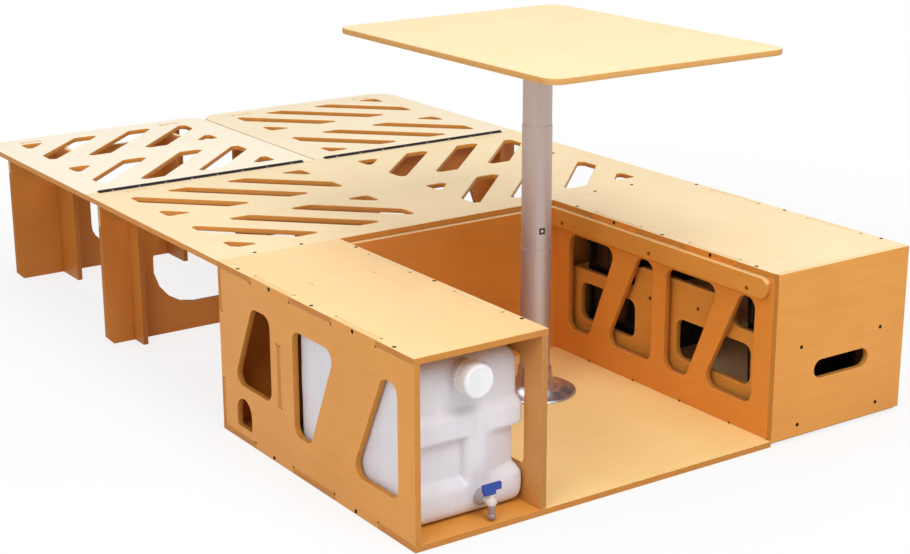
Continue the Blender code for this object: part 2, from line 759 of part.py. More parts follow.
def build_near_panel(unit):
    """Fixed bed panel between the boxes and the hinges."""
    front = BOX_DEPTH + FIT
    back = HINGE_Y - HINGE_SEAM
    holes = []
    for row in range(2):
        y = BOX_DEPTH + FIELD_FRONT + row * (FIELD_DEPTH + FIELD_GAP)
        for left, rising in zip(field_lefts(), (False, True)):
            holes.extend(slat_holes(left, y, rising))
    tab = (NEAR_TAB_START - FIT, NEAR_TAB_START + NEAR_TAB_LENGTH + FIT)
    for left, right in mirror_spans([tab]):
        holes.append(slot_hole(left, right, NEAR_LEG_Y - FIT, NEAR_LEG_Y + PLY + FIT))
    outline = rectangle(0.0, UNIT_WIDTH, front, back)
    flat_board("bed_near_panel", outline, holes, DECK_Z, unit, PALE_PLY_LOOK)


def build_near_leg(unit):
    """Leg board across the unit, cross-lapped with a fin at each end."""
    left = NEAR_LEG_EDGE
    right = UNIT_WIDTH - NEAR_LEG_EDGE
    tab = (NEAR_TAB_START, NEAR_TAB_START + NEAR_TAB_LENGTH)
    fin = (NEAR_FIN_X - FIT, NEAR_FIN_X + PLY + FIT)
    (tab_a, tab_b), (tab_c, tab_d) = mirror_spans([tab])
    laps = [(start, end, HALF_HEIGHT) for start, end in mirror_spans([fin])]
    head = [(left, tab_a, CUT), (tab_b, tab_c, CUT), (tab_d, right, CUT)]
    outline = notched_board(left, right, 0.0, BOX_HEIGHT, foot_cuts=laps, head_cuts=head)
    outline = chamfer_feet(outline, left, right, NEAR_LEG_CHAMFER)
    holes = []
    opening = (NEAR_OPENING_START, MIDDLE_X - NEAR_POST_WIDTH / 2)
    foot = NEAR_OPENING_SILL
    for start, end in mirror_spans([opening]):
        radius = NEAR_OPENING_HEIGHT / 2
        holes.append(stadium_hole(start, end, foot, foot + 2 * radius))
    front_board("near_leg_board", outline, holes, NEAR_LEG_Y, unit, PLY_LOOK)
    front = NEAR_LEG_Y - NEAR_FIN_FRONT
    back = NEAR_LEG_Y + PLY + NEAR_FIN_BACK
    for name, (start, _) in zip(
            ("near_leg_left_fin", "near_leg_right_fin"), mirror_spans([(NEAR_FIN_X, NEAR_FIN_X + PLY)])):
        side_board(name, fin_outline(front, back, NEAR_LEG_Y), [], start, unit, PLY_LOOK)


def stadium_hole(left, right, foot, head):
    """Opening with two half-round ends."""
    radius = (head - foot) / 2
    middle = (foot + head) / 2
    right_end = arc_points(Vector((right - radius, middle)), radius, -QUARTER, math.pi, ARC_STEP)
    left_end = arc_points(Vector((left + radius, middle)), radius, QUARTER, math.pi, ARC_STEP)
    return right_end + left_end


def fin_outline(front, back, board_y):
    """Leg fin with a lap slot from its top down to half height, where the leg board passes."""
    lap = (board_y - FIT, board_y + CUT, DECK_Z - HALF_HEIGHT)
    return notched_board(front, back, 0.0, DECK_Z - FIT, head_cuts=[lap])


def chamfer_feet(outline, left, right, size):
    """Cut the two lower outer corners of a leg board."""
    path = []
    for point in outline:
        if point == Vector((left, 0.0)):
            path.extend([Vector((left, size)), Vector((left + size, 0.0))])
        elif point == Vector((right, 0.0)):
            path.extend([Vector((right - size, 0.0)), Vector((right, size))])
        else:
            path.append(point)
    return path


def far_leg_outline(left, right, tabs, fins):
    """Far leg board: low top rail, shoulders under the panel and tabs through it."""
    rail = BOX_HEIGHT - DECK_Z + FAR_LEG_RAIL_DROP
    head = []
    edge = left
    for start, end in tabs:
        near = left if start - left < 2 * FAR_SHOULDER else start - FAR_SHOULDER
        far = right if right - end < 2 * FAR_SHOULDER else end + FAR_SHOULDER
        head.extend([(edge, near, rail), (near, start, CUT), (end, far, CUT)])
        edge = far
    head.append((edge, right, rail))
    head = [(start, end, depth) for start, end, depth in head if end > start]
    laps = [(start - FIT, start + CUT, HALF_HEIGHT) for start in fins]
    outline = stepped_board(left, right, 0.0, BOX_HEIGHT, laps, head)
    return chamfer_feet(outline, left, right, FAR_LEG_CHAMFER)


def stepped_board(left, right, foot, head, foot_cuts, steps):
    """Board whose top edge is a run of adjoining steps, each (low, high, depth)."""
    path = [Vector((left, foot))]
    for start, end, depth in sorted(foot_cuts):
        path.append(Vector((start, foot)))
        path.append(Vector((start, foot + depth)))
        path.append(Vector((end, foot + depth)))
        path.append(Vector((end, foot)))
    path.append(Vector((right, foot)))
    last = right
    for start, end, depth in reversed(steps):
        if end < last:
            path.append(Vector((last, head)))
            path.append(Vector((end, head)))
        path.append(Vector((end, head - depth)))
        path.append(Vector((start, head - depth)))
        last = start
    return path


def build_far_legs(unit):
    """A leg board with two fins under each folding panel; the right one mirrors the left."""
    tabs = [(centre - FAR_TAB_LENGTH / 2, centre + FAR_TAB_LENGTH / 2) for centre in FAR_TAB_CENTRES]
    fins = [(start, start + PLY) for start in FAR_FIN_STARTS]
    leg = (FAR_LEG_START, FAR_LEG_START + FAR_LEG_LENGTH)
    sides = (
        ("far_left_leg", *leg, tabs, fins, FAR_WINDOW_SPAN),
        ("far_right_leg", *mirror_spans([leg])[1],
         sorted(mirror_spans(tabs)[2:]), mirror_spans(fins)[2:], mirror_spans([FAR_WINDOW_SPAN])[1]),
    )
    front = FAR_LEG_Y - FAR_FIN_FRONT
    back = FAR_LEG_Y + PLY + FAR_FIN_BACK
    for name, left, right, leg_tabs, leg_fins, leg_window in sides:
        outline = far_leg_outline(left, right, leg_tabs, [start for start, _ in leg_fins])
        hole = rounded_rectangle(*leg_window, *FAR_WINDOW_HEIGHTS, FAR_WINDOW_RADIUS)
        front_board(name + "_board", outline, [hole], FAR_LEG_Y, unit, PLY_LOOK)
        for place, (start, _) in zip(("outer", "inner"), leg_fins):
            side_board(
                name + "_" + place + "_fin", fin_outline(front, back, FAR_LEG_Y), [],
                start, unit, PLY_LOOK)


def build_flaps(unit):
    """Two folding bed panels on their hinge axes."""
    tab_spans = [
        (centre - FAR_TAB_LENGTH / 2 - FAR_TAB_PLAY, centre + FAR_TAB_LENGTH / 2 + FAR_TAB_PLAY)
        for centre in FAR_TAB_CENTRES]
    both_tabs = mirror_spans(tab_spans)
    halves = (
        ("left_flap", 0.0, MIDDLE_X - PANEL_GAP / 2, field_lefts()[0], True, both_tabs[:2]),
        ("right_flap", MIDDLE_X + PANEL_GAP / 2, UNIT_WIDTH, field_lefts()[1], False, both_tabs[2:]),
    )
    front = HINGE_Y + HINGE_SEAM
    frames = {}
    for name, left, right, field_left, rising, tabs in halves:
        frame = hang_frame(name + "_axis", ((left + right) / 2, HINGE_Y, HINGE_Z), unit)
        frames[name] = frame
        holes = []
        for row in range(2):
            y = HINGE_Y + FAR_FIELD_FRONT + row * (FIELD_DEPTH + FIELD_GAP)
            holes.extend(slat_holes(field_left, y, rising))
        for start, end in tabs:
            holes.append(slot_hole(
                start, end, FAR_LEG_Y - FAR_TAB_PLAY, FAR_LEG_Y + PLY + FAR_TAB_PLAY))
        outline = round_corners(
            rectangle(left, right, front, UNIT_LENGTH), [0.0, 0.0, PANEL_CORNER_RADIUS, PANEL_CORNER_RADIUS])
        flat_board(name + "_panel", outline, holes, DECK_Z, frame, PALE_PLY_LOOK)
    return frames


def knuckle_spans(left, kind):
    """Lengths of the hinge barrel that belong to one leaf; kind 0 is the fixed leaf."""
    pitch = HINGE_LENGTH / HINGE_KNUCKLES
    spans = []
    for index in range(kind, HINGE_KNUCKLES, 2):
        start = left + index * pitch + (HINGE_SIDE_PLAY / 2 if index else 0.0)
        last = index == HINGE_KNUCKLES - 1
        end = left + (index + 1) * pitch - (0.0 if last else HINGE_SIDE_PLAY / 2)
        spans.append((start, end))
    return spans


def gaps_between(spans, left, right):
    """Stretches of a line that the spans leave free."""
    gaps = []
    edge = left
    for start, end in spans:
        if start > edge:
            gaps.append((edge, start))
        edge = end
    if edge < right:
        gaps.append((edge, right))
    return gaps


def barrel_mesh(name, spans, radius):
    """Lengths of hinge barrel along +X, each its own closed body."""
    bm = bmesh.new()
    for start, end in spans:
        add_cylinder(bm, (start, HINGE_Y, HINGE_Z), (end, HINGE_Y, HINGE_Z), radius, BARREL_SIDES)
    return finished_mesh(name, bm)


def build_hinge(side, left, fixed_frame, moving_frame):
    """Piano hinge: two leaves, with the pin fixed in the barrel of the near one."""
    right = left + HINGE_LENGTH
    plate_z = BOX_HEIGHT + FIT
    rim = HINGE_KNUCKLE_RADIUS / 2
    outer = HINGE_LEAF + HINGE_SIDE_PLAY
    depth = HINGE_KNUCKLE_RADIUS - rim + HINGE_SIDE_PLAY
    name = side + "_hinge_near_leaf"
    spans = knuckle_spans(left, 0)
    cuts = [(start, end, depth) for start, end in gaps_between(spans, left, right)]
    outline = notched_board(left, right, HINGE_Y - outer, HINGE_Y - rim, head_cuts=cuts)
    leaf = flat_board(name, outline, [], plate_z, fixed_frame, BLACK_STEEL_LOOK, HINGE_PLATE)
    barrel = barrel_mesh(name, spans, HINGE_KNUCKLE_RADIUS)
    barrel = add_cutter(name + "_barrel", barrel, ORIGIN, fixed_frame)
    add_boolean(leaf, barrel, "UNION")
    pin_span = [(left + HINGE_LEAF, right - HINGE_LEAF)]
    pin = add_cutter(name + "_pin", barrel_mesh(name, pin_span, HINGE_PIN_RADIUS), ORIGIN, fixed_frame)
    add_boolean(leaf, pin, "UNION")
    name = side + "_hinge_far_leaf"
    spans = knuckle_spans(left, 1)
    cuts = [(start, end, depth) for start, end in gaps_between(spans, left, right)]
    outline = notched_board(left, right, HINGE_Y + rim, HINGE_Y + outer, foot_cuts=cuts)
    leaf = flat_board(name, outline, [], plate_z, moving_frame, BLACK_STEEL_LOOK, HINGE_PLATE)
    barrel = barrel_mesh(name, spans, HINGE_KNUCKLE_RADIUS)
    barrel = add_cutter(name + "_barrel", barrel, ORIGIN, moving_frame)
    add_boolean(leaf, barrel, "UNION")
    bore_span = [(left - HINGE_LEAF, right + HINGE_LEAF)]
    bore_radius = HINGE_PIN_RADIUS + 2 * FIT
    bore = add_cutter(name + "_bore", barrel_mesh(name, bore_span, bore_radius), ORIGIN, moving_frame)
    add_boolean(leaf, bore, "DIFFERENCE")


def tube_profile(radius, foot, head):
    """Cross-section of a tube wall, outer face first."""
    bore = radius - TUBE_WALL
    return [(bore, foot), (radius, foot), (radius, head), (bore, head)]


def radial_box(name, radius_span, width, foot, head, frame):
    """Box across the post's wall on the side of the release button."""
    bm = bmesh.new()
    bmesh.ops.create_cube(bm, size=1.0)
    inner, outer = radius_span
    bmesh.ops.scale(bm, vec=(outer - inner, width, head - foot), verts=bm.verts[:])
    bmesh.ops.translate(bm, vec=((inner + outer) / 2, 0.0, (foot + head) / 2), verts=bm.verts[:])
    turn = (0.0, 0.0, BUTTON_ANGLE)
    return add_cutter(name, finished_mesh(name, bm), (POST_X, POST_Y, 0.0), frame, turn)


def build_button(frame):
    """Curved release button, flush in the wall of the middle tube."""
    outer = MIDDLE_TUBE_RADIUS - BUTTON_PLAY / 4
    inner = outer - BUTTON_WALL
    foot = BUTTON_Z
    head = BUTTON_Z + BUTTON_HEIGHT
    bm = bmesh.new()
    corners = [bm.verts.new(point) for point in (
        (inner, 0.0, foot), (outer, 0.0, foot), (outer, 0.0, head), (inner, 0.0, head))]
    face = bm.faces.new(corners)
    start = Matrix.Rotation(BUTTON_ANGLE - BUTTON_SPREAD / 2, 3, "Z")
    bmesh.ops.rotate(bm, cent=ORIGIN, matrix=start, verts=bm.verts[:])
    bmesh.ops.spin(bm, geom=[face] + face.edges[:] + face.verts[:], cent=ORIGIN, axis=(0, 0, 1),
                   angle=BUTTON_SPREAD, steps=4)
    mesh = finished_mesh("post_button", bm)
    add_piece("post_button", mesh, (POST_X, POST_Y, 0.0), frame, DARK_STEEL_LOOK)


def build_post_and_table(unit):
    """Floor flange, three telescoping tubes and the table top."""
    foot = CUT
    under = TABLE_HEIGHT - PLY
    swivel = hang_frame("post_swivel_axis", (POST_X, POST_Y, foot), unit)
    middle = hang_frame("post_middle_frame", (POST_X, POST_Y, MIDDLE_TUBE_ENDS[0]), swivel)
    upper = hang_frame("post_upper_frame", (POST_X, POST_Y, UPPER_TUBE_FOOT), middle)
    axis = (POST_X, POST_Y, 0.0)

    bore = LOWER_TUBE_RADIUS + FIT
    spread = FLANGE_RADIUS - bore
    profile = [(bore, foot), (FLANGE_RADIUS, foot), (FLANGE_RADIUS, foot + FLANGE_RIM)]
    rise = FLANGE_HEIGHT - FLANGE_RIM
    for out_share, up_share in FLANGE_SHARES:
        profile.append((bore + spread * out_share, foot + FLANGE_RIM + rise * up_share))
    profile.append((bore, foot + FLANGE_HEIGHT))
    mesh = turned_mesh("floor_flange", profile, True, TUBE_STEPS)
    add_piece("floor_flange", mesh, axis, unit, CHROME_LOOK)

    profile = tube_profile(LOWER_TUBE_RADIUS, foot, LOWER_TUBE_TOP)
    mesh = turned_mesh("post_lower_tube", profile, True, TUBE_STEPS)
    add_piece("post_lower_tube", mesh, axis, swivel, ALUMINIUM_LOOK)

    profile = tube_profile(MIDDLE_TUBE_RADIUS, *MIDDLE_TUBE_ENDS)
    mesh = turned_mesh("post_middle_tube", profile, True, TUBE_STEPS)
    tube = add_piece("post_middle_tube", mesh, axis, middle, ALUMINIUM_LOOK)
    wall_span = (MIDDLE_TUBE_RADIUS - 4 * TUBE_WALL, MIDDLE_TUBE_RADIUS + 2 * TUBE_WALL)
    width = 2 * (MIDDLE_TUBE_RADIUS * math.sin(BUTTON_SPREAD / 2) + BUTTON_PLAY)
    window = radial_box(
        "button_hole", wall_span, width, BUTTON_Z - BUTTON_PLAY,
        BUTTON_Z + BUTTON_HEIGHT + BUTTON_PLAY, middle)
    add_boolean(tube, window, "DIFFERENCE")
    reach = Vector((math.cos(BUTTON_ANGLE), math.sin(BUTTON_ANGLE), 0.0)) * MIDDLE_TUBE_RADIUS
    seat = hang_frame(
        "button_frame", Vector((POST_X, POST_Y, BUTTON_Z + BUTTON_HEIGHT / 2)) + reach, middle)
    build_button(seat)

    profile = tube_profile(UPPER_TUBE_RADIUS, UPPER_TUBE_FOOT, under - FIT)
    mesh = turned_mesh("post_upper_tube", profile, True, TUBE_STEPS)
    tube = add_piece("post_upper_tube", mesh, axis, upper, ALUMINIUM_LOOK)
    wall_span = (UPPER_TUBE_RADIUS - 5 * TUBE_WALL, UPPER_TUBE_RADIUS + 2 * TUBE_WALL)
    groove = radial_box(
        "button_groove", wall_span, UPPER_SLOT_WIDTH, UPPER_TUBE_FOOT - PLY, UPPER_SLOT_TOP, upper)
    add_boolean(tube, groove, "DIFFERENCE")

    bore = UPPER_TUBE_RADIUS + FIT
    head = under - FIT
    profile = [
        (bore, head - TABLE_FLANGE_DEPTH),
        (TABLE_FLANGE_HUB, head - TABLE_FLANGE_DEPTH),
        (TABLE_FLANGE_HUB, head - TABLE_FLANGE_PLATE),
        (TABLE_FLANGE_RADIUS, head - TABLE_FLANGE_PLATE),
        (TABLE_FLANGE_RADIUS, head),
        (bore, head),
    ]
    mesh = turned_mesh("table_flange", profile, True, TUBE_STEPS)
    add_piece("table_flange", mesh, axis, upper, ZINC_LOOK)

    outline = rounded_rectangle(
        LEFT_BOX_WIDTH + TABLE_EDGE_GAP, RIGHT_BOX_X - TABLE_EDGE_GAP,
        TABLE_EDGE_GAP, BOX_DEPTH - TABLE_EDGE_GAP, TABLE_CORNER_RADIUS)
    flat_board("table_top", outline, [], under, upper, PALE_PLY_LOOK)


def box_mesh(name, low, high):
    """Plain box between two corners."""
    bm = bmesh.new()
    bmesh.ops.create_cube(bm, size=1.0)
    bmesh.ops.scale(bm, vec=Vector(high) - Vector(low), verts=bm.verts[:])
    bmesh.ops.translate(bm, vec=(Vector(high) + Vector(low)) / 2, verts=bm.verts[:])
    return finished_mesh(name, bm)


def cylinder_mesh(name, start, end, radius, sides):
    """Capped cylinder between two points."""
    bm = bmesh.new()
    add_cylinder(bm, start, end, radius, sides)
    mesh = finished_mesh(name, bm)
    smooth_mesh(mesh)
    return mesh


def build_canister(unit):
    """Water canister with two swelling bands, a rib between them and a threaded neck."""
    frame = hang_frame("canister_frame", (CANISTER_X, CANISTER_Y, CUT), unit)
    rings = []
    for height_share, front_share, side_share in CANISTER_LEVEL_SHARES:
        front = CANISTER_WAIST * front_share
        side = CANISTER_WAIST * side_share
        corner = max(CANISTER_CORNER - front, CANISTER_LEAST_CORNER)
        ring = rounded_rectangle(
            CANISTER_X + side, CANISTER_X + CANISTER_WIDTH - side,
            CANISTER_Y + front, CANISTER_Y + CANISTER_DEPTH - front, corner)
        z = CUT + CANISTER_HEIGHT * height_share
        rings.append([(point.x, point.y, z) for point in ring])
    mesh = lofted_mesh("canister_body", rings)
    smooth_mesh(mesh)
    body = add_piece("canister_body", mesh, ORIGIN, frame, CANISTER_LOOK)
    low, high = RIB_ENDS
    rib = box_mesh(
        "canister_rib", (RIB_START, CANISTER_Y + RIB_PROUD, low),
        (RIB_START + RIB_WIDTH, CANISTER_Y + 2 * CANISTER_WAIST, high))
    add_boolean(body, add_cutter("canister_rib", rib, ORIGIN, frame), "UNION")
    neck_front = CAP_FRONT + CAP_WALL + FIT
    neck = cylinder_mesh(
        "canister_neck", (CAP_X, neck_front, CAP_Z),
        (CAP_X, CANISTER_Y + 2 * CANISTER_WAIST, CAP_Z), NECK_RADIUS, CAP_STEPS)
    add_boolean(body, add_cutter("canister_neck", neck, ORIGIN, frame), "UNION")

    cap_frame = hang_frame("cap_axis", (CAP_X, CAP_FRONT, CAP_Z), frame)
    bore = NECK_RADIUS + 2 * FIT
    profile = [
        (0.0, CAP_LENGTH - CAP_WALL),
        (bore, CAP_LENGTH - CAP_WALL),
        (bore, 0.0),
        (CAP_RADIUS, 0.0),
        (CAP_RADIUS, CAP_LENGTH - CAP_BEVEL),
        (CAP_RADIUS - CAP_BEVEL, CAP_LENGTH),
        (0.0, CAP_LENGTH),
    ]
    mesh = turned_mesh("canister_cap", profile, False, CAP_STEPS)
    add_piece("canister_cap", mesh, (CAP_X, CAP_FRONT + CAP_LENGTH, CAP_Z), cap_frame, CAP_LOOK, FACING_FRONT)
    return frame


def build_tap(canister):
    """Tap low on the canister's front, with a lever that turns on its stem."""
    back = CANISTER_Y - FIT
    mesh = cylinder_mesh(
        "tap_body", (TAP_X, TAP_FRONT, TAP_Z), (TAP_X, back, TAP_Z), TAP_TUBE_RADIUS, TAP_STEPS)
    body = add_piece("tap_body", mesh, ORIGIN, canister, GREY_LOOK)
    spout = cylinder_mesh(
        "tap_spout", (TAP_X, TAP_Y, SPOUT_FOOT), (TAP_X, TAP_Y, TAP_Z), SPOUT_RADIUS, TAP_STEPS)
    add_boolean(body, add_cutter("tap_spout", spout, ORIGIN, canister), "UNION")
    stem = cylinder_mesh(
        "tap_stem", (TAP_X, TAP_Y, TAP_Z), (TAP_X, TAP_Y, STEM_TOP), STEM_RADIUS, TAP_STEPS)
    add_boolean(body, add_cutter("tap_stem", stem, ORIGIN, canister), "UNION")

    bore = TAP_TUBE_RADIUS + 2 * FIT
    profile = [(bore, 0.0), (COLLAR_RADIUS, 0.0), (COLLAR_RADIUS, COLLAR_LENGTH), (bore, COLLAR_LENGTH)]
    mesh = turned_mesh("tap_collar", profile, True, TAP_STEPS)
    add_piece("tap_collar", mesh, (TAP_X, back, TAP_Z), canister, GREY_LOOK, FACING_FRONT)

    lever_frame = hang_frame("tap_lever_axis", (TAP_X, TAP_Y, STEM_TOP), canister)
    foot = STEM_TOP + FIT
    bar_foot = foot + LEVER_NECK_HEIGHT
    corners = [
        Vector((TAP_X - LEVER_NECK / 2, foot)),
        Vector((TAP_X + LEVER_NECK / 2, foot)),
        Vector((TAP_X + LEVER_NECK / 2, bar_foot)),
        Vector((TAP_X + LEVER_SPAN / 2, bar_foot)),
        Vector((TAP_X + LEVER_SPAN / 2, foot + LEVER_HEIGHT)),
        Vector((TAP_X - LEVER_SPAN / 2, foot + LEVER_HEIGHT)),
        Vector((TAP_X - LEVER_SPAN / 2, bar_foot)),
        Vector((TAP_X - LEVER_NECK / 2, bar_foot)),
    ]
    outline = round_corners(corners, [0.0, 0.0, 0.0] + [LEVER_RADIUS] * 4 + [0.0])
    front_board(
        "tap_lever", outline, [], TAP_Y - LEVER_THICKNESS / 2, lever_frame, BLUE_LOOK, LEVER_THICKNESS)


def drawer_side_outline():
    """Side of the drawer in (y, z), raised in the middle where the shelf sits."""
    start, end = DRAWER_BRIDGE
    corners = [
        Vector((RIGHT_FRONT_Y, DRAWER_SIDE_FOOT)),
        Vector((DRAWER_END_Y, DRAWER_SIDE_FOOT)),
        Vector((DRAWER_END_Y, DRAWER_SIDE_TOP)),
        Vector((end, DRAWER_SIDE_TOP)),
        Vector((end, DRAWER_BRIDGE_TOP)),
        Vector((start, DRAWER_BRIDGE_TOP)),
        Vector((start, DRAWER_SIDE_TOP)),
        Vector((RIGHT_FRONT_Y, DRAWER_SIDE_TOP)),
    ]
    radius = DRAWER_BRIDGE_RADIUS
    return round_corners(corners, [0.0, 0.0, 0.0, radius, radius, radius, radius, 0.0])


def build_drawer(unit):
    """Kitchen drawer whose front closes the whole end of the right box."""
    frame = hang_frame("drawer_frame", (RIGHT_BOX_X, 0.0, DRAWER_FRONT_FOOT), unit)
    front = RIGHT_FRONT_Y
    handle = stadium_hole(
        HANDLE_START, HANDLE_START + HANDLE_LENGTH, HANDLE_Z, HANDLE_Z + HANDLE_HEIGHT)
    outline = rectangle(RIGHT_BOX_X, UNIT_WIDTH, DRAWER_FRONT_FOOT, BOX_HEIGHT)
    front_board("drawer_front", outline, [handle], 0.0, frame, PLY_LOOK)

    left = RIGHT_BOX_X + PLY + SLIDE_SPACE
    right = UNIT_WIDTH - 2 * PLY - SLIDE_SPACE
    windows = [
        rounded_rectangle(start, end, DRAWER_WINDOW_SILL, DRAWER_WINDOW_HEAD, DRAWER_BRIDGE_RADIUS)
        for start, end in DRAWER_WINDOWS]
    side_board("drawer_left_side", drawer_side_outline(), windows, left, frame, PLY_LOOK)
    side_board("drawer_right_side", drawer_side_outline(), windows, right, frame, PLY_LOOK)

    inner_left = left + PLY + FIT
    inner_right = right - FIT
    back = DRAWER_END_Y - PLY
    outline = rectangle(inner_left, inner_right, front, back - FIT)
    flat_board("drawer_bottom", outline, [], DRAWER_BOTTOM_Z, frame, PALE_PLY_LOOK)
    outline = rectangle(inner_left, inner_right, DRAWER_SIDE_FOOT, DRAWER_SIDE_TOP)
    front_board("drawer_back", outline, [], back, frame, PLY_LOOK)
    outline = rectangle(inner_left, inner_right, *DRAWER_BRIDGE)
    flat_board("drawer_shelf", outline, [], DRAWER_SHELF_Z, frame, PALE_PLY_LOOK)
    outline = rectangle(inner_left, inner_right, front, front + DRAWER_RAIL_DEPTH)
    flat_board("drawer_front_rail", outline, [], DRAWER_SHELF_Z, frame, PALE_PLY_LOOK)

    for name, (start, end) in zip(("front_crate", "rear_crate"), CRATE_SPANS):
        build_crate(name, inner_left + CRATE_GAP, inner_right - CRATE_GAP, start, end, frame)
    build_slides(unit, frame, left)


def build_crate(name, left, right, front, back, parent):
    """Open tapered crate with a rim, standing on the drawer's bottom."""
    foot = DRAWER_BOTTOM_Z + CUT
    frame = hang_frame(name + "_frame", (left, front, foot), parent)
    rim_foot = CRATE_TOP - CRATE_RIM_HEIGHT
    steps = (
        (CRATE_TAPER + CRATE_RIM, foot),
        (CRATE_RIM, rim_foot),
        (0.0, rim_foot),
        (0.0, CRATE_TOP),
        (CRATE_RIM + CRATE_WALL, CRATE_TOP),
        (CRATE_TAPER + CRATE_RIM + CRATE_WALL, foot + CRATE_WALL),
    )
    rings = []
    for inset, z in steps:
        ring = rounded_rectangle(left + inset, right - inset, front + inset, back - inset, CRATE_CORNER)
        rings.append([(point.x, point.y, z) for point in ring])
    mesh = lofted_mesh(name, rings)
    smooth_mesh(mesh)
    add_piece(name, mesh, ORIGIN, frame, CRATE_LOOK)


def channel(web_x, way, middle_z, height):
    """Channel profile in (x, z) whose lips point one way from its web."""
    low = middle_z - height / 2
    high = middle_z + height / 2
    lip_x = web_x + way * SLIDE_LIP
    face_x = web_x + way * SLIDE_SHEET
    corners = [
        Vector((web_x, low)), Vector((lip_x, low)),
        Vector((lip_x, low + SLIDE_SHEET)), Vector((face_x, low + SLIDE_SHEET)),
        Vector((face_x, high - SLIDE_SHEET)), Vector((lip_x, high - SLIDE_SHEET)),
        Vector((lip_x, high)), Vector((web_x, high)),
    ]
    return anticlockwise(corners)


def build_slides(unit, drawer, side_x):
    """Telescopic drawer slides: a channel on the box, one between, and one on the drawer."""
    middle = hang_frame("slide_middle_frame", (RIGHT_BOX_X, SLIDE_START, DRAWER_SIDE_FOOT), unit)
    box_x = RIGHT_BOX_X + PLY + FIT
    drawer_x = side_x - FIT
    nest = SLIDE_SHEET + SLIDE_CLEAR
    centre_z = DRAWER_SIDE_FOOT + SLIDE_HEIGHT / 2
    mirror = RIGHT_BOX_X + UNIT_WIDTH
    members = (
        ("outer", box_x, 1, SLIDE_HEIGHT, unit),
        ("middle", box_x + nest, 1, SLIDE_HEIGHT - 2 * nest, middle),
        ("inner", drawer_x, -1, SLIDE_HEIGHT - 4 * nest, drawer),
    )
    for member, web_x, way, height, frame in members:
        for side, face_x, lip_way in (("left", web_x, way), ("right", mirror - web_x, -way)):
            profile = channel(face_x, lip_way, centre_z, height)
            front_board(
                side + "_slide_" + member, profile, [], SLIDE_START, frame, ZINC_LOOK, SLIDE_LENGTH)


def build_unit():
    """Build every piece of the unit."""
    for item in list(bpy.data.objects):
        bpy.data.objects.remove(item, do_unlink=True)
    unit = make_frame("unit_origin", (0.0, 0.0, 0.0))
    unit.empty.location = (-UNIT_WIDTH / 2, -UNIT_LENGTH / 2, 0.0)
    build_base(unit)
    build_rear_panel(unit)
    build_box_sides(unit)
    build_box_tops(unit)
    build_divider(unit)
    build_cleats(unit)
    build_near_panel(unit)
    build_near_leg(unit)
    build_far_legs(unit)
    flaps = build_flaps(unit)
    for side, share in zip(("left", "right"), HINGE_START_SHARES):
        build_hinge(side, UNIT_WIDTH * share, unit, flaps[side + "_flap"])
    build_post_and_table(unit)
    build_tap(build_canister(unit))
    build_drawer(unit)


build_unit()
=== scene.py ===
import json
import math

import bmesh
import bpy
from mathutils import Matrix, Vector

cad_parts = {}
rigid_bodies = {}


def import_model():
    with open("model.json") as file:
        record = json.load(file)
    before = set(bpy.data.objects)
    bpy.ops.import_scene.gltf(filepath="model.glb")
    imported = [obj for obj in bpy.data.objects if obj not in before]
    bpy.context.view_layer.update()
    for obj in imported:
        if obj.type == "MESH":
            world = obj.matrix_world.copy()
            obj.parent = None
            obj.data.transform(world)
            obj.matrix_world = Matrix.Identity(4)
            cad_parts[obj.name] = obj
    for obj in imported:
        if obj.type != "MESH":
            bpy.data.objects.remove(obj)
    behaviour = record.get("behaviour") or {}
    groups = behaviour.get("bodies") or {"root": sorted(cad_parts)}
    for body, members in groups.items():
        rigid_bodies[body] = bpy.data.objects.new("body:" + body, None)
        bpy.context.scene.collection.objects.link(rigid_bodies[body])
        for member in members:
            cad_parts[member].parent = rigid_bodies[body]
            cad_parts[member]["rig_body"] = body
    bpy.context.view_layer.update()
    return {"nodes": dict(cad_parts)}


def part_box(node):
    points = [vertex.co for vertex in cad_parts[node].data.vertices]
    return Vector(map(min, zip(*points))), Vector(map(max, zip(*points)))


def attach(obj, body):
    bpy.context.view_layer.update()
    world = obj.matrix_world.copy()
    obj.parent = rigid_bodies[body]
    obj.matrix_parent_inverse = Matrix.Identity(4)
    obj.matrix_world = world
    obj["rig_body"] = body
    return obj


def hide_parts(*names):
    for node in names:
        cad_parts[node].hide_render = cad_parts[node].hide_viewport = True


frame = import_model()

# The unit's drawing has x = 0 at its left side, y = 0 at its front and z = 0 on the floor
UNIT_WIDTH = 1.150
UNIT_LENGTH = 1.910
MIDDLE = Vector((UNIT_WIDTH / 2, UNIT_LENGTH / 2, 0.0))
PLY = 0.012
PLY_LAYERS = 9
DECK = 0.340
LEFT_BAY_WALL = 0.270
RIGHT_BAY_WALL = 0.803
# Points that lie closer than this are one
MERGE = 0.00001

# Colours of the finishes, linear RGB
# Paler tones that the faces pointing up take: painted light from above with a painted sheen,
# brighter or darker board by board as the light falls on each
TABLE_PAINTED_LIT_BIRCH = (0.86, 0.66, 0.37)
LEFT_TOP_PAINTED_LIT_BIRCH = (0.89, 0.61, 0.29)
RIGHT_TOP_PAINTED_LIT_BIRCH = (0.89, 0.71, 0.43)
BED_PAINTED_LIT_BIRCH = (0.89, 0.71, 0.43)
LEFT_FLAP_PAINTED_LIT_BIRCH = (0.94, 0.85, 0.68)
RIGHT_FLAP_PAINTED_LIT_BIRCH = (0.91, 0.78, 0.55)
FLOOR_PAINTED_LIT_BIRCH = (0.98, 0.70, 0.31)
CLEAT_PAINTED_LIT_BIRCH = (0.80, 0.54, 0.25)
OILED_BIRCH = (0.74, 0.32, 0.055)
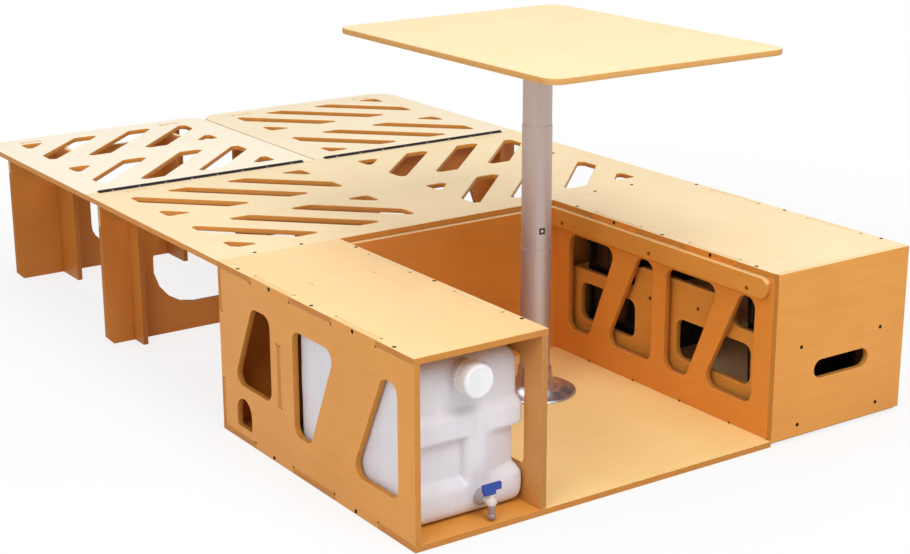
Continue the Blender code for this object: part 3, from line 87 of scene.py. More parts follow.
# The leg boards' darker tone is painted shade under the bed
LEG_PAINTED_SHADE_BIRCH = (0.60, 0.22, 0.035)
INNER_BIRCH = (0.62, 0.29, 0.075)
TABLE_EDGE_BIRCH = (0.74, 0.41, 0.13)
# A deeper orange for the bay's rear panel and the right box's inner side: painted light, the orange
# light that bounces between the bay's walls
BAY_BOUNCE_PAINTED_BIRCH = (0.78, 0.29, 0.045)
ANODISED = (0.55, 0.465, 0.45)
CHROME = (0.56, 0.60, 0.70)
ZINC = (0.45, 0.45, 0.47)
BLACKENED = (0.040, 0.030, 0.034)
MILKY = (0.74, 0.73, 0.77)
CAP_WHITE = (0.78, 0.78, 0.80)
TAP_GREY = (0.36, 0.33, 0.33)
TAP_WHITE = (0.66, 0.58, 0.53)
SPOUT_GREY = (0.30, 0.20, 0.18)
LEVER_BLUE = (0.006, 0.045, 0.30)
CRATE_BLACK = (0.006, 0.006, 0.007)
BUTTON_GREY = (0.09, 0.08, 0.075)
SCREW_DARK = (0.022, 0.010, 0.006)
SCREW_LIGHT = (0.86, 0.84, 0.82)


def spot(x, y, z):
    """A place of the drawing in the frame's own coordinates."""
    return Vector((x, y, z)) - MIDDLE


def rgb(colour):
    """A colour with full alpha, as colour sockets take it."""
    return (*colour, 1.0)


def shade(colour, *factors):
    """A colour darkened by one factor for all or one for each channel."""
    factors = factors if len(factors) == 3 else factors * 3
    if isinstance(colour, Tone):
        return colour.tree.tint(colour, *factors)
    return tuple(value * factor for value, factor in zip(colour, factors))


def drawn_out(axis, times):
    """The stretch of a pattern along one axis."""
    return tuple(times if index == axis else 1.0 for index in range(3))


# Shader maths


class Tone:
    """A number, colour or vector that varies over a surface."""

    def __init__(self, tree, socket):
        self.tree = tree
        self.socket = socket

    def maths(self, operation, *values):
        return self.tree.node("ShaderNodeMath", {"operation": operation}, dict(enumerate(values)))

    def __add__(self, other):
        return self.maths("ADD", self, other)

    def __sub__(self, other):
        return self.maths("SUBTRACT", self, other)

    def __rsub__(self, other):
        return self.maths("SUBTRACT", other, self)

    def __mul__(self, other):
        return self.maths("MULTIPLY", self, other)

    def __mod__(self, other):
        return self.maths("MODULO", self, other)

    def __gt__(self, other):
        return self.maths("GREATER_THAN", self, other)

    def __lt__(self, other):
        return self.maths("LESS_THAN", self, other)

    __radd__ = __add__
    __rmul__ = __mul__

    def wave(self):
        return self.maths("SINE", self)

    def or_more(self, other):
        return self.maths("MAXIMUM", self, other)

    def within(self, low, high):
        """The tone spread from 0 at low to 1 at high, and held there."""
        return self.tree.node(
            "ShaderNodeMapRange", {"clamp": True}, {0: self, 1: low, 2: high, 3: 0.0, 4: 1.0})


class NodeTree:
    """A shader's nodes, and the tones that they make."""

    def __init__(self, nodes):
        self.nodes = nodes

    def feed(self, socket, value):
        if isinstance(value, Tone):
            self.nodes.links.new(value.socket, socket)
        else:
            socket.default_value = value

    def node(self, kind, settings=None, sockets=None, output=0):
        """Add a node: its settings first, then the values or links of its sockets."""
        made = self.nodes.nodes.new(kind)
        for setting, value in (settings or {}).items():
            setattr(made, setting, value)
        for socket, value in (sockets or {}).items():
            self.feed(made.inputs[socket], value)
        return Tone(self, made.outputs[output])

    def point(self):
        return self.node("ShaderNodeTexCoord", output="Object")

    def facing(self, axis):
        """How far the surface faces along an axis."""
        normal = self.node("ShaderNodeTexCoord", output="Normal")
        return self.node("ShaderNodeSeparateXYZ", sockets={0: normal}, output=axis)

    def along(self, axis):
        return self.node("ShaderNodeSeparateXYZ", sockets={0: self.point()}, output=axis)

    def noise(self, size, stretch=(1.0, 1.0, 1.0), shift=(0.0, 0.0, 0.0), detail=3.0, warp=0.0):
        """Noise whose spots are about one size across, drawn out by a stretch."""
        scale = tuple(1.0 / (size * pull) for pull in stretch)
        place = self.node(
            "ShaderNodeMapping",
            sockets={"Vector": self.point(), "Location": shift, "Scale": scale})
        return self.node(
            "ShaderNodeTexNoise",
            sockets={"Vector": place, "Scale": 1.0, "Detail": detail, "Distortion": warp})

    def mix(self, mask, first, second):
        """First colour where the mask is 0 and second where it is 1."""
        first, second = (
            colour if isinstance(colour, Tone) else rgb(colour) for colour in (first, second))
        return self.node("ShaderNodeMix", {"data_type": "RGBA"}, {0: mask, 6: first, 7: second}, 2)

    def tint(self, colour, *factors):
        """A varying colour times one factor for each channel."""
        return self.node(
            "ShaderNodeMix", {"data_type": "RGBA", "blend_type": "MULTIPLY"},
            {0: 1.0, 6: colour, 7: rgb(factors)}, 2)

    def relief(self, height, depth, strength=1.0):
        """Surface normal of a fine relief."""
        return self.node(
            "ShaderNodeBump", sockets={"Strength": strength, "Distance": depth, "Height": height})

    def seen(self):
        """1 where the camera looks, straight or by way of gloss or glass."""
        rays = [self.node("ShaderNodeLightPath", output=ray)
                for ray in ("Is Camera Ray", "Is Glossy Ray", "Is Transmission Ray")]
        return rays[0].or_more(rays[1]).or_more(rays[2])


class Finish(NodeTree):
    """One material and the nodes that paint it."""

    def __init__(self, name):
        self.material = bpy.data.materials.new(name)
        self.material.use_nodes = True
        super().__init__(self.material.node_tree)
        self.shader = self.nodes.nodes["Principled BSDF"]

    def coat(self, **sockets):
        """Set the surface's own sockets; a name's underscores stand for spaces."""
        for name, value in sockets.items():
            self.feed(self.shader.inputs[name.replace("_", " ")], value)
        return self.material


# Finishes


# How far the pattern moves on from one board to the next
BOARD_SHIFT = (3.7, 1.9, 5.3)
# Plywood faces: the pattern's sizes in metres, its stretch along the grain, how close its rings
# lie, and the shares of the darker tone that rings, fibres and patches bring
FIGURE_SIZE = 0.075
FIGURE_STRETCH = 7.0
GROWTH_RINGS = 46.0
FIBRE_SIZE = 0.0011
FIBRE_STRETCH = 30.0
PATCH_SIZE = 0.16
RING_SHARE = 0.14
FIBRE_SHARE = 0.17
PATCH_SHARE = 0.30
GRAIN_RELIEF = 0.00012
# Plywood edges: the same, how far the lines of the plies waver and how wide the glue is, in plies
WAVER_SIZE = 0.020
WAVER_STRETCH = 2.5
WAVER = 0.7
STREAK_SIZE = 0.0016
STREAK_STRETCH = 10.0
STREAK_SHARE = 0.45
GLUE_WIDTH = 0.16
GLUE_SHARE = 0.6
# The level that all windows of the boxes lie under
WINDOW_TOP = 0.27
# How the darker figure and the plies of an edge differ from a face's own tone, for each channel
DEEP_UP = (0.94, 0.87, 0.76)
DEEP_SIDE = (0.84, 0.74, 0.60)
LONG_PLY_UP = (0.98, 0.95, 0.90)
LONG_PLY_SIDE = (1.0, 0.96, 0.92)
END_PLY_UP = (0.93, 0.84, 0.70)
END_PLY_SIDE = (0.82, 0.75, 0.68)
GLUE_UP = (0.80, 0.66, 0.48)
GLUE_SIDE = (0.36, 0.27, 0.22)
# Brightness of the edges that stand in the shade of the boxes, a painted shade, and of the others
PAINTED_SHADE_EDGE = 0.82
OPEN_EDGE = 0.96


def board_axes(board):
    """A board's box, the axis that it is thin along, and the one that its grain runs along."""
    low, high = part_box(board)
    size = high - low
    thin = min(range(3), key=lambda axis: size[axis])
    grain = max(range(3), key=lambda axis: size[axis])
    return low, high, thin, grain


def paint_face(finish, board, shift, up, side, lit):
    """A board's face: growth rings, fibres and patches over its tone, which is the paler up tone of
    painted light where the face points up.
    """
    grain = board_axes(board)[3]
    figure = finish.noise(
        FIGURE_SIZE, drawn_out(grain, FIGURE_STRETCH), shift, detail=2.0, warp=0.8)
    rings = (figure * GROWTH_RINGS).wave() * 0.5 + 0.5
    fibres = finish.noise(FIBRE_SIZE, drawn_out(grain, FIBRE_STRETCH), shift, detail=2.0)
    patches = finish.noise(PATCH_SIZE, shift=shift, detail=2.0)
    depth = rings * RING_SHARE + fibres.within(0.3, 0.75) * FIBRE_SHARE
    depth = depth + patches.within(0.35, 0.7) * PATCH_SHARE
    tone = finish.mix(lit, side, up)
    deep = finish.mix(lit, shade(side, *DEEP_SIDE), shade(up, *DEEP_UP))
    return finish.mix(depth, tone, deep), fibres, rings


def paint_edge(finish, board, shift, up, side, lit):
    """A board's edge: plies along and across it by turns, with streaks and lines of glue, under
    painted shade on the edges of upright boards, the floor and the left top, and painted light on
    the rims on top.
    """
    low, _, thin, grain = board_axes(board)
    upright = thin != 2
    waver = finish.noise(WAVER_SIZE, drawn_out(grain, WAVER_STRETCH), shift, detail=2.0)
    layer = (finish.along(thin) - low[thin]) * (PLY_LAYERS / PLY) + waver * WAVER
    cross_ply = (layer % 2.0) > 1.0
    glue = (layer % 1.0) < GLUE_WIDTH
    along_plies = tuple(1.0 if axis == thin else STREAK_STRETCH for axis in range(3))
    streaks = finish.noise(STREAK_SIZE, along_plies, shift, detail=2.0)
    # Rims at the top of an upright board take the painted light of the upward faces, and the rims of
    # its windows stay brown
    lit_rim = lit * (finish.along(2) > WINDOW_TOP) if upright else lit
    # Painted shade on the edges of the upright boards, the floor and the left box's top
    in_painted_shade = upright or board in ("base_panel", "left_box_top")
    toned = shade(side, PAINTED_SHADE_EDGE if in_painted_shade else OPEN_EDGE)
    long_ply = finish.mix(lit_rim, shade(toned, *LONG_PLY_SIDE), shade(up, *LONG_PLY_UP))
    end_ply = finish.mix(lit_rim, shade(toned, *END_PLY_SIDE), shade(up, *END_PLY_UP))
    glue_line = finish.mix(lit_rim, shade(side, *GLUE_SIDE), shade(up, *GLUE_UP))
    edge = finish.mix(cross_ply, long_ply, end_ply)
    edge = finish.mix(streaks.within(0.40, 0.75) * STREAK_SHARE, edge, end_ply)
    return finish.mix(glue * waver.within(0.3, 0.7) * GLUE_SHARE, edge, glue_line), streaks


def plywood(board, seed, up, side):
    """Oiled birch plywood: softly figured faces, and edges lined with their plies; faces that point
    up take a paler tone, painted light from above.
    """
    thin = board_axes(board)[2]
    finish = Finish(board + "_birch_plywood")
    shift = tuple(seed * step for step in BOARD_SHIFT)
    # Painted light: faces that point up take the paler up tone, and on the flaps and the table top
    # the faces that point down as well
    upward = finish.facing(2)
    both_faces_show = "flap" in board or board == "table_top"
    lit = (upward * upward if both_faces_show else upward).within(0.3, 0.7)
    if board == "base_panel":
        # The floor is pale in the bay, the up tone of painted light, and takes the tone of the sides
        # inside the boxes, a painted shade
        in_left_box = finish.along(0) < LEFT_BAY_WALL - PLY / 2 - MIDDLE.x
        in_right_box = finish.along(0) > RIGHT_BAY_WALL + PLY / 2 - MIDDLE.x
        up = finish.mix(in_left_box + in_right_box, up, side)
    face, fibres, rings = paint_face(finish, board, shift, up, side, lit)
    edge, streaks = paint_edge(finish, board, shift, up, side, lit)
    across = finish.facing(thin)
    is_edge = (across * across) < 0.5
    is_face = 1.0 - is_edge
    height = (fibres + rings * 0.15) * is_face + streaks * is_edge * 0.6
    return finish.coat(
        Base_Color=finish.mix(is_edge, face, edge),
        Roughness=fibres * 0.12 * is_face + is_edge * 0.22 + 0.40,
        Normal=finish.relief(height, GRAIN_RELIEF, 0.5),
        Specular_IOR_Level=0.32,
        Coat_Weight=0.06,
        Coat_Roughness=0.25,
    )


def brushed(name, colour, axis, roughness=0.30, metallic=1.0):
    """Metal with fine lines drawn along one axis."""
    finish = Finish(name)
    lines = finish.noise(0.0006, drawn_out(axis, 60.0), detail=2.0)
    smudges = finish.noise(0.05, detail=3.0)
    return finish.coat(
        Base_Color=finish.mix(lines.within(0.3, 0.7) * 0.2, colour, shade(colour, 0.86)),
        Metallic=metallic,
        Roughness=lines * 0.08 + smudges.within(0.4, 0.7) * 0.06 + (roughness - 0.05),
        Normal=finish.relief(lines, 0.00002, 0.25),
    )


def worn_metal(name, colour, roughness, grain_size=0.004, metallic=1.0, specular=0.5):
    """Plain metal with faint blotches."""
    finish = Finish(name)
    blotches = finish.noise(grain_size, detail=4.0)
    return finish.coat(
        Base_Color=finish.mix(blotches.within(0.35, 0.75) * 0.5, colour, shade(colour, 0.72)),
        Metallic=metallic,
        Roughness=blotches * 0.16 + (roughness - 0.08),
        Normal=finish.relief(blotches, 0.00005, 0.3),
        Specular_IOR_Level=specular,
    )


def plastic(name, colour, roughness, grain=0.0012, relief=0.00006):
    """Moulded plastic with a fine grain."""
    finish = Finish(name)
    grains = finish.noise(grain, detail=2.0)
    clouds = finish.noise(0.06, detail=2.0)
    return finish.coat(
        Base_Color=finish.mix(clouds.within(0.35, 0.7) * 0.4, colour, shade(colour, 0.86)),
        Roughness=grains * 0.14 + (roughness - 0.07),
        Normal=finish.relief(grains, relief, 0.5),
    )


def milky_plastic(name):
    """Natural translucent plastic of the water canister, with faint upright flow lines."""
    finish = Finish(name)
    clouds = finish.noise(0.09, detail=2.0, warp=0.4)
    flow = finish.noise(0.012, drawn_out(2, 14.0), detail=2.0)
    orange_peel = finish.noise(0.006, detail=2.0)
    depth = clouds.within(0.35, 0.7) * 0.6 + flow.within(0.35, 0.7) * 0.4
    return finish.coat(
        Base_Color=finish.mix(depth, MILKY, shade(MILKY, 0.92, 0.90, 0.92)),
        Roughness=orange_peel * 0.12 + 0.30,
        Normal=finish.relief(orange_peel, 0.0002, 0.30),
        Subsurface_Weight=0.35,
        Subsurface_Radius=(0.020, 0.018, 0.018),
        Coat_Weight=0.15,
        Coat_Roughness=0.2,
    )


def dress(node, material):
    """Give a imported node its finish."""
    slots = frame["nodes"][node].data.materials
    slots.clear()
    slots.append(material)


BOARDS = (
    "base_panel", "rear_panel", "left_box_outer_side", "left_box_inner_side", "left_box_top",
    "left_box_divider", "right_box_inner_side", "right_box_outer_side", "right_box_top",
    "left_bay_cleat", "right_bay_cleat", "bed_cleat", "bed_near_panel", "near_leg_board",
    "near_leg_left_fin", "near_leg_right_fin", "far_left_leg_board", "far_left_leg_outer_fin",
    "far_left_leg_inner_fin", "far_right_leg_board", "far_right_leg_outer_fin",
    "far_right_leg_inner_fin", "left_flap_panel", "right_flap_panel", "table_top", "drawer_front",
    "drawer_left_side", "drawer_right_side", "drawer_bottom", "drawer_back", "drawer_shelf",
    "drawer_front_rail",
)
# Painted light: the paler tone that the upward faces and top rims of each board take
PAINTED_LIGHT_TONES = {
    "table_top": TABLE_PAINTED_LIT_BIRCH, "left_box_top": LEFT_TOP_PAINTED_LIT_BIRCH, "right_box_top": RIGHT_TOP_PAINTED_LIT_BIRCH,
    "bed_near_panel": BED_PAINTED_LIT_BIRCH,
    "left_flap_panel": LEFT_FLAP_PAINTED_LIT_BIRCH, "right_flap_panel": RIGHT_FLAP_PAINTED_LIT_BIRCH,
    "base_panel": FLOOR_PAINTED_LIT_BIRCH, "left_box_outer_side": LEFT_TOP_PAINTED_LIT_BIRCH,
    "left_bay_cleat": CLEAT_PAINTED_LIT_BIRCH, "right_bay_cleat": CLEAT_PAINTED_LIT_BIRCH,
}
SIDE_TONES = {
    "rear_panel": BAY_BOUNCE_PAINTED_BIRCH, "right_box_inner_side": BAY_BOUNCE_PAINTED_BIRCH, "left_box_inner_side": INNER_BIRCH,
    "table_top": TABLE_EDGE_BIRCH,
}
for seed, board in enumerate(BOARDS):
    painted_light_tone = PAINTED_LIGHT_TONES.get(board, RIGHT_TOP_PAINTED_LIT_BIRCH)
    side_tone = LEG_PAINTED_SHADE_BIRCH if "leg" in board else SIDE_TONES.get(board, OILED_BIRCH)
    dress(board, plywood(board, seed, painted_light_tone, side_tone))

anodised = brushed("anodised_aluminium", ANODISED, 2, 0.50, metallic=0.82)
chrome = brushed("polished_flange_chrome", CHROME, 2, 0.20, metallic=0.85)
table_zinc = worn_metal("table_flange_zinc", ZINC, 0.36)
hinge_black = worn_metal("blackened_hinge_steel", BLACKENED, 0.42, metallic=0.6)
slide_zinc = brushed("slide_zinc", ZINC, 1, 0.36)
button_steel = worn_metal("button_steel", BUTTON_GREY, 0.35)
milky = milky_plastic("milky_canister_plastic")
cap_white = plastic("cap_plastic", CAP_WHITE, 0.36)
tap_grey = plastic("tap_plastic", TAP_GREY, 0.32)
lever_blue = plastic("lever_plastic", LEVER_BLUE, 0.34)
tap_white = plastic("tap_nose_plastic", TAP_WHITE, 0.22)
spout_grey = plastic("spout_plastic", SPOUT_GREY, 0.24)
crate_black = plastic("crate_plastic", CRATE_BLACK, 0.17)

for tube in ("post_lower_tube", "post_middle_tube", "post_upper_tube"):
    dress(tube, anodised)
for node, material in (
        ("floor_flange", chrome), ("table_flange", table_zinc), ("post_button", button_steel),
        ("canister_body", milky), ("canister_cap", cap_white), ("tap_body", tap_grey),
        ("tap_collar", tap_grey), ("tap_lever", lever_blue), ("front_crate", crate_black),
        ("rear_crate", crate_black)):
    dress(node, material)
for side in ("left", "right"):
    for leaf in ("near", "far"):
        dress(side + "_hinge_" + leaf + "_leaf", hinge_black)
    for member in ("outer", "middle", "inner"):
        dress(side + "_slide_" + member, slide_zinc)


# Modelling helpers


def start(kind, name, **facts):
    """Add a primitive and open it for editing, its place in its mesh and nothing else selected."""
    bpy.ops.object.select_all(action="DESELECT")
    getattr(bpy.ops.mesh, "primitive_" + kind + "_add")(**facts)
    piece = bpy.context.object
    piece.name = name
    piece.data.name = name
    bpy.ops.object.transform_apply(location=True, rotation=True, scale=True)
    bpy.ops.object.mode_set(mode="EDIT")
    return piece


def start_from(node, name):
    """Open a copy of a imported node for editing, its loose triangles joined into whole faces."""
    bpy.ops.object.select_all(action="DESELECT")
    piece = bpy.data.objects.new(name, frame["nodes"][node].data.copy())
    piece.data.name = name
    bpy.context.scene.collection.objects.link(piece)
    piece.select_set(True)
    bpy.context.view_layer.objects.active = piece
    bpy.ops.object.mode_set(mode="EDIT")
    bpy.ops.mesh.select_all(action="SELECT")
    bpy.ops.mesh.remove_doubles(threshold=MERGE)
    bpy.ops.mesh.dissolve_limited(angle_limit=math.radians(1.0))
    return piece


def pick(piece, wanted, kind="faces"):
    """Select only the faces, edges or corners that a test picks out."""
    bpy.ops.mesh.select_mode(type={"faces": "FACE", "edges": "EDGE", "verts": "VERT"}[kind])
    bpy.ops.mesh.select_all(action="DESELECT")
    mesh = bmesh.from_edit_mesh(piece.data)
    mesh.normal_update()
    for item in getattr(mesh, kind):
        if wanted(item):
            item.select_set(True)
    mesh.select_flush_mode()
    bmesh.update_edit_mesh(piece.data)


def cut_across(axis, level):
    """Cut the open piece right through, square to an axis."""
    place = tuple(level if index == axis else 0.0 for index in range(3))
    way = tuple(1.0 if index == axis else 0.0 for index in range(3))
    bpy.ops.mesh.select_all(action="SELECT")
    bpy.ops.mesh.bisect(plane_co=place, plane_no=way)


def bevel(offset, segments):
    """Bevel the selected edges."""
    bpy.ops.mesh.bevel(
        offset=offset, segments=segments, affect="EDGES", clamp_overlap=False, loop_slide=False)


def smooth_under(degrees):
    """Close the open piece and shade it smooth over edges that turn less than an angle."""
    bpy.ops.object.mode_set(mode="OBJECT")
    bpy.ops.object.shade_smooth_by_angle(angle=math.radians(degrees))


def refine(piece, levels):
    """Round a piece off with a subdivision surface."""
    bpy.ops.object.mode_set(mode="OBJECT")
    surface = piece.modifiers.new("rounding", "SUBSURF")
    surface.levels = levels
    surface.render_levels = levels
    bpy.ops.object.modifier_apply(modifier=surface.name)
    bpy.ops.object.shade_smooth()


def hand_over(piece, body, material):
    """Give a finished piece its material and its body."""
    piece.data.materials.clear()
    piece.data.materials.append(material)
    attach(piece, body)


def done(piece, body, material, replaced=()):
    """Close a piece: its place goes into its mesh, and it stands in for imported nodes."""
    if bpy.context.mode != "OBJECT":
        bpy.ops.object.mode_set(mode="OBJECT")
    bpy.ops.object.transform_apply(location=True, rotation=True, scale=True)
    if replaced:
        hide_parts(*replaced)
    hand_over(piece, body, material)


def copy_to(pattern, name, matrix, body, material):
    """Copy a modelled pattern to a place, with a mesh of its own."""
    piece = bpy.data.objects.new(name, pattern.data.copy())
    bpy.context.scene.collection.objects.link(piece)
    piece.data.name = name
    piece.data.transform(matrix)
    hand_over(piece, body, material)


def turn_on_lathe(name, profile, at, sides=64, lie_forward=False, closed=False, smooth=35.0):
    """Turn a profile of (radius, height) pairs about an axis that is upright or points forward."""
    piece = start(
        "circle", name, vertices=sides, radius=profile[0][0], location=(0.0, 0.0, profile[0][1]))
    bpy.ops.mesh.select_mode(type="EDGE")
    bpy.ops.mesh.select_all(action="SELECT")
    if not closed:
        bpy.ops.mesh.edge_face_add()
    for (radius, height), (next_radius, next_height) in zip(profile, profile[1:]):
        bpy.ops.mesh.extrude_region_move(
            TRANSFORM_OT_translate={"value": (0.0, 0.0, next_height - height)})
        ratio = next_radius / radius
        bpy.ops.transform.resize(
            value=(ratio, ratio, 1.0), center_override=(0.0, 0.0, next_height))
    bpy.ops.mesh.select_all(action="SELECT")
    bpy.ops.mesh.remove_doubles(threshold=MERGE)
    bpy.ops.mesh.normals_make_consistent(inside=False)
    smooth_under(smooth)
    if lie_forward:
        piece.rotation_euler = (math.radians(90.0), 0.0, 0.0)
    piece.location = at
    return piece


# Eased boards

EDGE_EASE = 0.0006
ROUND_OVER = 0.0030
TOUCHED_BOARDS = ("table_top", "bed_near_panel", "left_flap_panel", "right_flap_panel")
# Left, right, front and back limits of the four slatted fields, with a margin round each
SLATTED = (
    (0.060, 0.510, 0.735, 1.245), (0.640, 1.090, 0.735, 1.245),
    (0.060, 0.510, 1.350, 1.857), (0.640, 1.090, 1.350, 1.857),
)


def in_slats(place):
    """True for places in the four slatted fields of the bed."""
    return any(left < place.x < right and front < place.y < back
               for left, right, front, back in SLATTED)


def ease_board(board):
    """Break a board's sharp rims, and round over those that hands and mattress touch."""
    low, high, thin, _ = board_axes(board)
    piece = start_from(board, board + "_eased")

    def is_rim(edge):
        leans = sorted(abs(face.normal[thin]) for face in edge.link_faces)
        return len(leans) == 2 and leans[0] < 0.01 and leans[1] > 0.999

    def is_touched(edge):
        middle = (edge.verts[0].co + edge.verts[1].co) / 2 + MIDDLE
        return is_rim(edge) and (board == "table_top" or in_slats(middle))

    if board in TOUCHED_BOARDS:
        pick(piece, is_touched, "edges")
        bevel(ROUND_OVER, 3)
    pick(piece, is_rim, "edges")
    bevel(EDGE_EASE, 2)
    smooth_under(35.0)
    bpy.ops.object.mode_set(mode="EDIT")
    pick(piece, lambda face: abs(face.normal[thin]) > 0.999)
    bpy.ops.mesh.faces_shade_flat()
    node = frame["nodes"][board]
    done(piece, node["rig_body"], node.data.materials[0], [board])


for board in BOARDS:
    ease_board(board)


# Post and its floor flange

POST_X = 0.602
POST_Y = 0.476
LOWER_TUBE = 0.0308
WALL = 0.0007
RIM = 0.0003

foot, head = (corner.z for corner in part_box("post_lower_tube"))
TUBE = (
    (LOWER_TUBE - WALL, foot), (LOWER_TUBE, foot), (LOWER_TUBE, head - RIM),
    (LOWER_TUBE - RIM, head), (LOWER_TUBE - WALL, head), (LOWER_TUBE - WALL, foot),
)
lower_tube = turn_on_lathe(
    "turned_post_lower_tube", TUBE, spot(POST_X, POST_Y, 0.0), closed=True)
done(lower_tube, "post_lower", anodised, ["post_lower_tube"])

for tube, body in (("post_middle_tube", "post_middle"), ("post_upper_tube", "table")):
    smoothed = start_from(tube, tube + "_smoothed")
    smooth_under(35.0)
    done(smoothed, body, anodised, [tube])

foot, head = (corner.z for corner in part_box("floor_flange"))
BELL = (
    (0.0310, head), (0.0322, head), (0.0340, head - 0.004), (0.0350, head - 0.012),
    (0.0368, head - 0.022), (0.0402, head - 0.032), (0.0460, head - 0.040),
    (0.0550, head - 0.0455), (0.0680, head - 0.0490), (0.0790, head - 0.0505),
    (0.0835, head - 0.0513), (0.0848, foot + 0.0025), (0.0850, foot + 0.0012), (0.0846, foot),
    (0.0310, foot), (0.0310, head),
)
bell = turn_on_lathe(
    "turned_floor_flange", BELL, spot(POST_X, POST_Y, 0.0), 72, closed=True, smooth=50.0)
flange_body = frame["nodes"]["floor_flange"]["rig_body"]
done(bell, flange_body, chrome, ["floor_flange"])


# Canister, cap and tap

# Left, front and lowest corner of the canister, and its width, depth and height
CANISTER = (0.0145, 0.045, 0.0123)
CANISTER_SIZE = (0.242, 0.358, 0.2927)
CANISTER_CORNER = 0.014
CANISTER_END_INSET = 0.02
WAIST = 0.017
# Height share, and how far the front, the right and the left side stand back there, in waists
CANISTER_RINGS = (
    (0.000, 1.30, 1.30, 1.30), (0.012, 0.70, 0.70, 0.70), (0.040, 0.12, 0.12, 0.12),
    (0.100, 0.00, 0.00, 0.00), (0.180, 0.00, 0.00, 0.00), (0.205, 0.12, 0.06, 0.01),
    (0.240, 0.92, 0.42, 0.05), (0.252, 1.08, 0.50, 0.06), (0.268, 1.08, 0.50, 0.06),
    (0.452, 1.08, 0.50, 0.06), (0.466, 1.08, 0.50, 0.06), (0.478, 0.95, 0.44, 0.05),
    (0.503, 0.12, 0.06, 0.01), (0.515, 0.00, 0.00, 0.00), (0.535, 0.00, 0.00, 0.00),
    (0.620, 0.00, 0.00, 0.00), (0.634, 0.04, 0.02, 0.00), (0.672, 0.66, 0.26, 0.04),
    (0.684, 0.74, 0.29, 0.05), (0.705, 0.74, 0.29, 0.05), (0.890, 0.74, 0.29, 0.05),
    (0.935, 0.88, 0.40, 0.20), (0.968, 1.35, 1.00, 0.80), (0.990, 2.20, 1.90, 1.70),
    (1.000, 3.40, 3.20, 3.00),
)
# Upright cuts beside the rib, its left and right side, its height shares and its depth
RIB_COLUMNS = (0.1270, 0.1315, 0.1370, 0.1405, 0.1715, 0.1750, 0.1766, 0.1800)
RIB_SIDES = (0.1360, 0.1760)
RIB_ENDS = (0.19, 0.51)
RIB_BACK = 0.0005
RIB_REACH = 0.03


def model_canister():
    """Blow-moulded water canister: banded body with one upright rib on its front."""
    width, depth, height = CANISTER_SIZE
    left, front, foot = spot(*CANISTER)
    canister = start(
        "cube", "moulded_canister", size=1.0, scale=(width, depth, height),
        location=(left + width / 2, front + depth / 2, foot + height / 2))
    pick(canister, lambda edge: abs(edge.verts[0].co.z - edge.verts[1].co.z) > height / 2, "edges")
    bevel(CANISTER_CORNER, 3)
    for column in RIB_COLUMNS:
        cut_across(0, column - MIDDLE.x)
    for share, _, _, _ in CANISTER_RINGS[1:-1]:
        cut_across(2, foot + height * share)
    for share, front_in, right_in, left_in in CANISTER_RINGS:
        both_in = right_in + left_in
        if both_in + front_in == 0:
            continue
        level = foot + height * share
        pick(canister, lambda vert: abs(vert.co.z - level) < 10 * MERGE, "verts")
        still_x = left + width * left_in / both_in
        bpy.ops.transform.resize(
            value=(1 - WAIST * both_in / width, 1 - WAIST * front_in / depth, 1.0),
            center_override=(still_x, front + depth, level))
    low_end, high_end = (foot + height * share for share in RIB_ENDS)
    left_side, right_side = (place - MIDDLE.x for place in RIB_SIDES)
    pick(
        canister,
        lambda vert: low_end < vert.co.z < high_end and left_side < vert.co.x < right_side
        and vert.co.y < front + RIB_REACH,
        "verts")
    bpy.ops.transform.resize(
        value=(1.0, 0.0, 1.0), center_override=(0.0, front + RIB_BACK, 0.0))
    for end in (-1.0, 1.0):
        pick(canister, lambda face: face.normal.z * end > 0.99)
        bpy.ops.mesh.inset(thickness=CANISTER_END_INSET, depth=0.0)
    refine(canister, 2)
    return canister


done(model_canister(), "canister", milky, ["canister_body"])

CAP_X = 0.137
CAP_Z = 0.269
CAP_BACK = 0.044
NECK_BACK = 0.064
NECK = ((0.0275, 0.0), (0.0275, 0.016), (0.0262, 0.017), (0.0262, 0.024))
neck = turn_on_lathe("canister_neck", NECK, spot(CAP_X, NECK_BACK, CAP_Z), 48, lie_forward=True)
done(neck, "canister", milky)

CAP = (
    (0.0272, 0.0), (0.0304, 0.0), (0.0310, 0.0006), (0.0310, 0.0050), (0.0303, 0.0056),
    (0.0303, 0.0280), (0.0299, 0.0305), (0.0288, 0.0324), (0.0272, 0.0336), (0.0252, 0.0340),
    (0.0225, 0.0338), (0.0205, 0.0333), (0.0195, 0.0332), (0.0010, 0.0333),
)
cap = turn_on_lathe("screw_cap", CAP, spot(CAP_X, CAP_BACK, CAP_Z), 72, lie_forward=True)
done(cap, "cap", cap_white, ["canister_cap"])

TAP_X = 0.164
TAP_Z = 0.046
CONE_BACK = 0.0447
NOSE_BACK = 0.0318
SPOUT_Y = 0.014
CONE = (
    (0.0060, 0.0), (0.0158, 0.0), (0.0162, 0.0006), (0.0162, 0.0024), (0.0152, 0.0030),
    (0.0144, 0.0034), (0.0108, 0.0140), (0.0102, 0.0148), (0.0060, 0.0150),
)
cone = turn_on_lathe("tap_cone", CONE, spot(TAP_X, CONE_BACK, TAP_Z), 48, lie_forward=True)
done(cone, "canister", tap_grey, ["tap_collar"])
NOSE = (
    (0.0060, 0.0), (0.0078, 0.0), (0.0078, 0.0080), (0.0088, 0.0105), (0.0096, 0.0140),
    (0.0096, 0.0180), (0.0088, 0.0215), (0.0070, 0.0240), (0.0044, 0.0254), (0.0010, 0.0257),
)
nose = turn_on_lathe(
    "tap_nose", NOSE, spot(TAP_X, NOSE_BACK, TAP_Z), 40, lie_forward=True, smooth=60.0)
done(nose, "canister", tap_white, ["tap_body"])
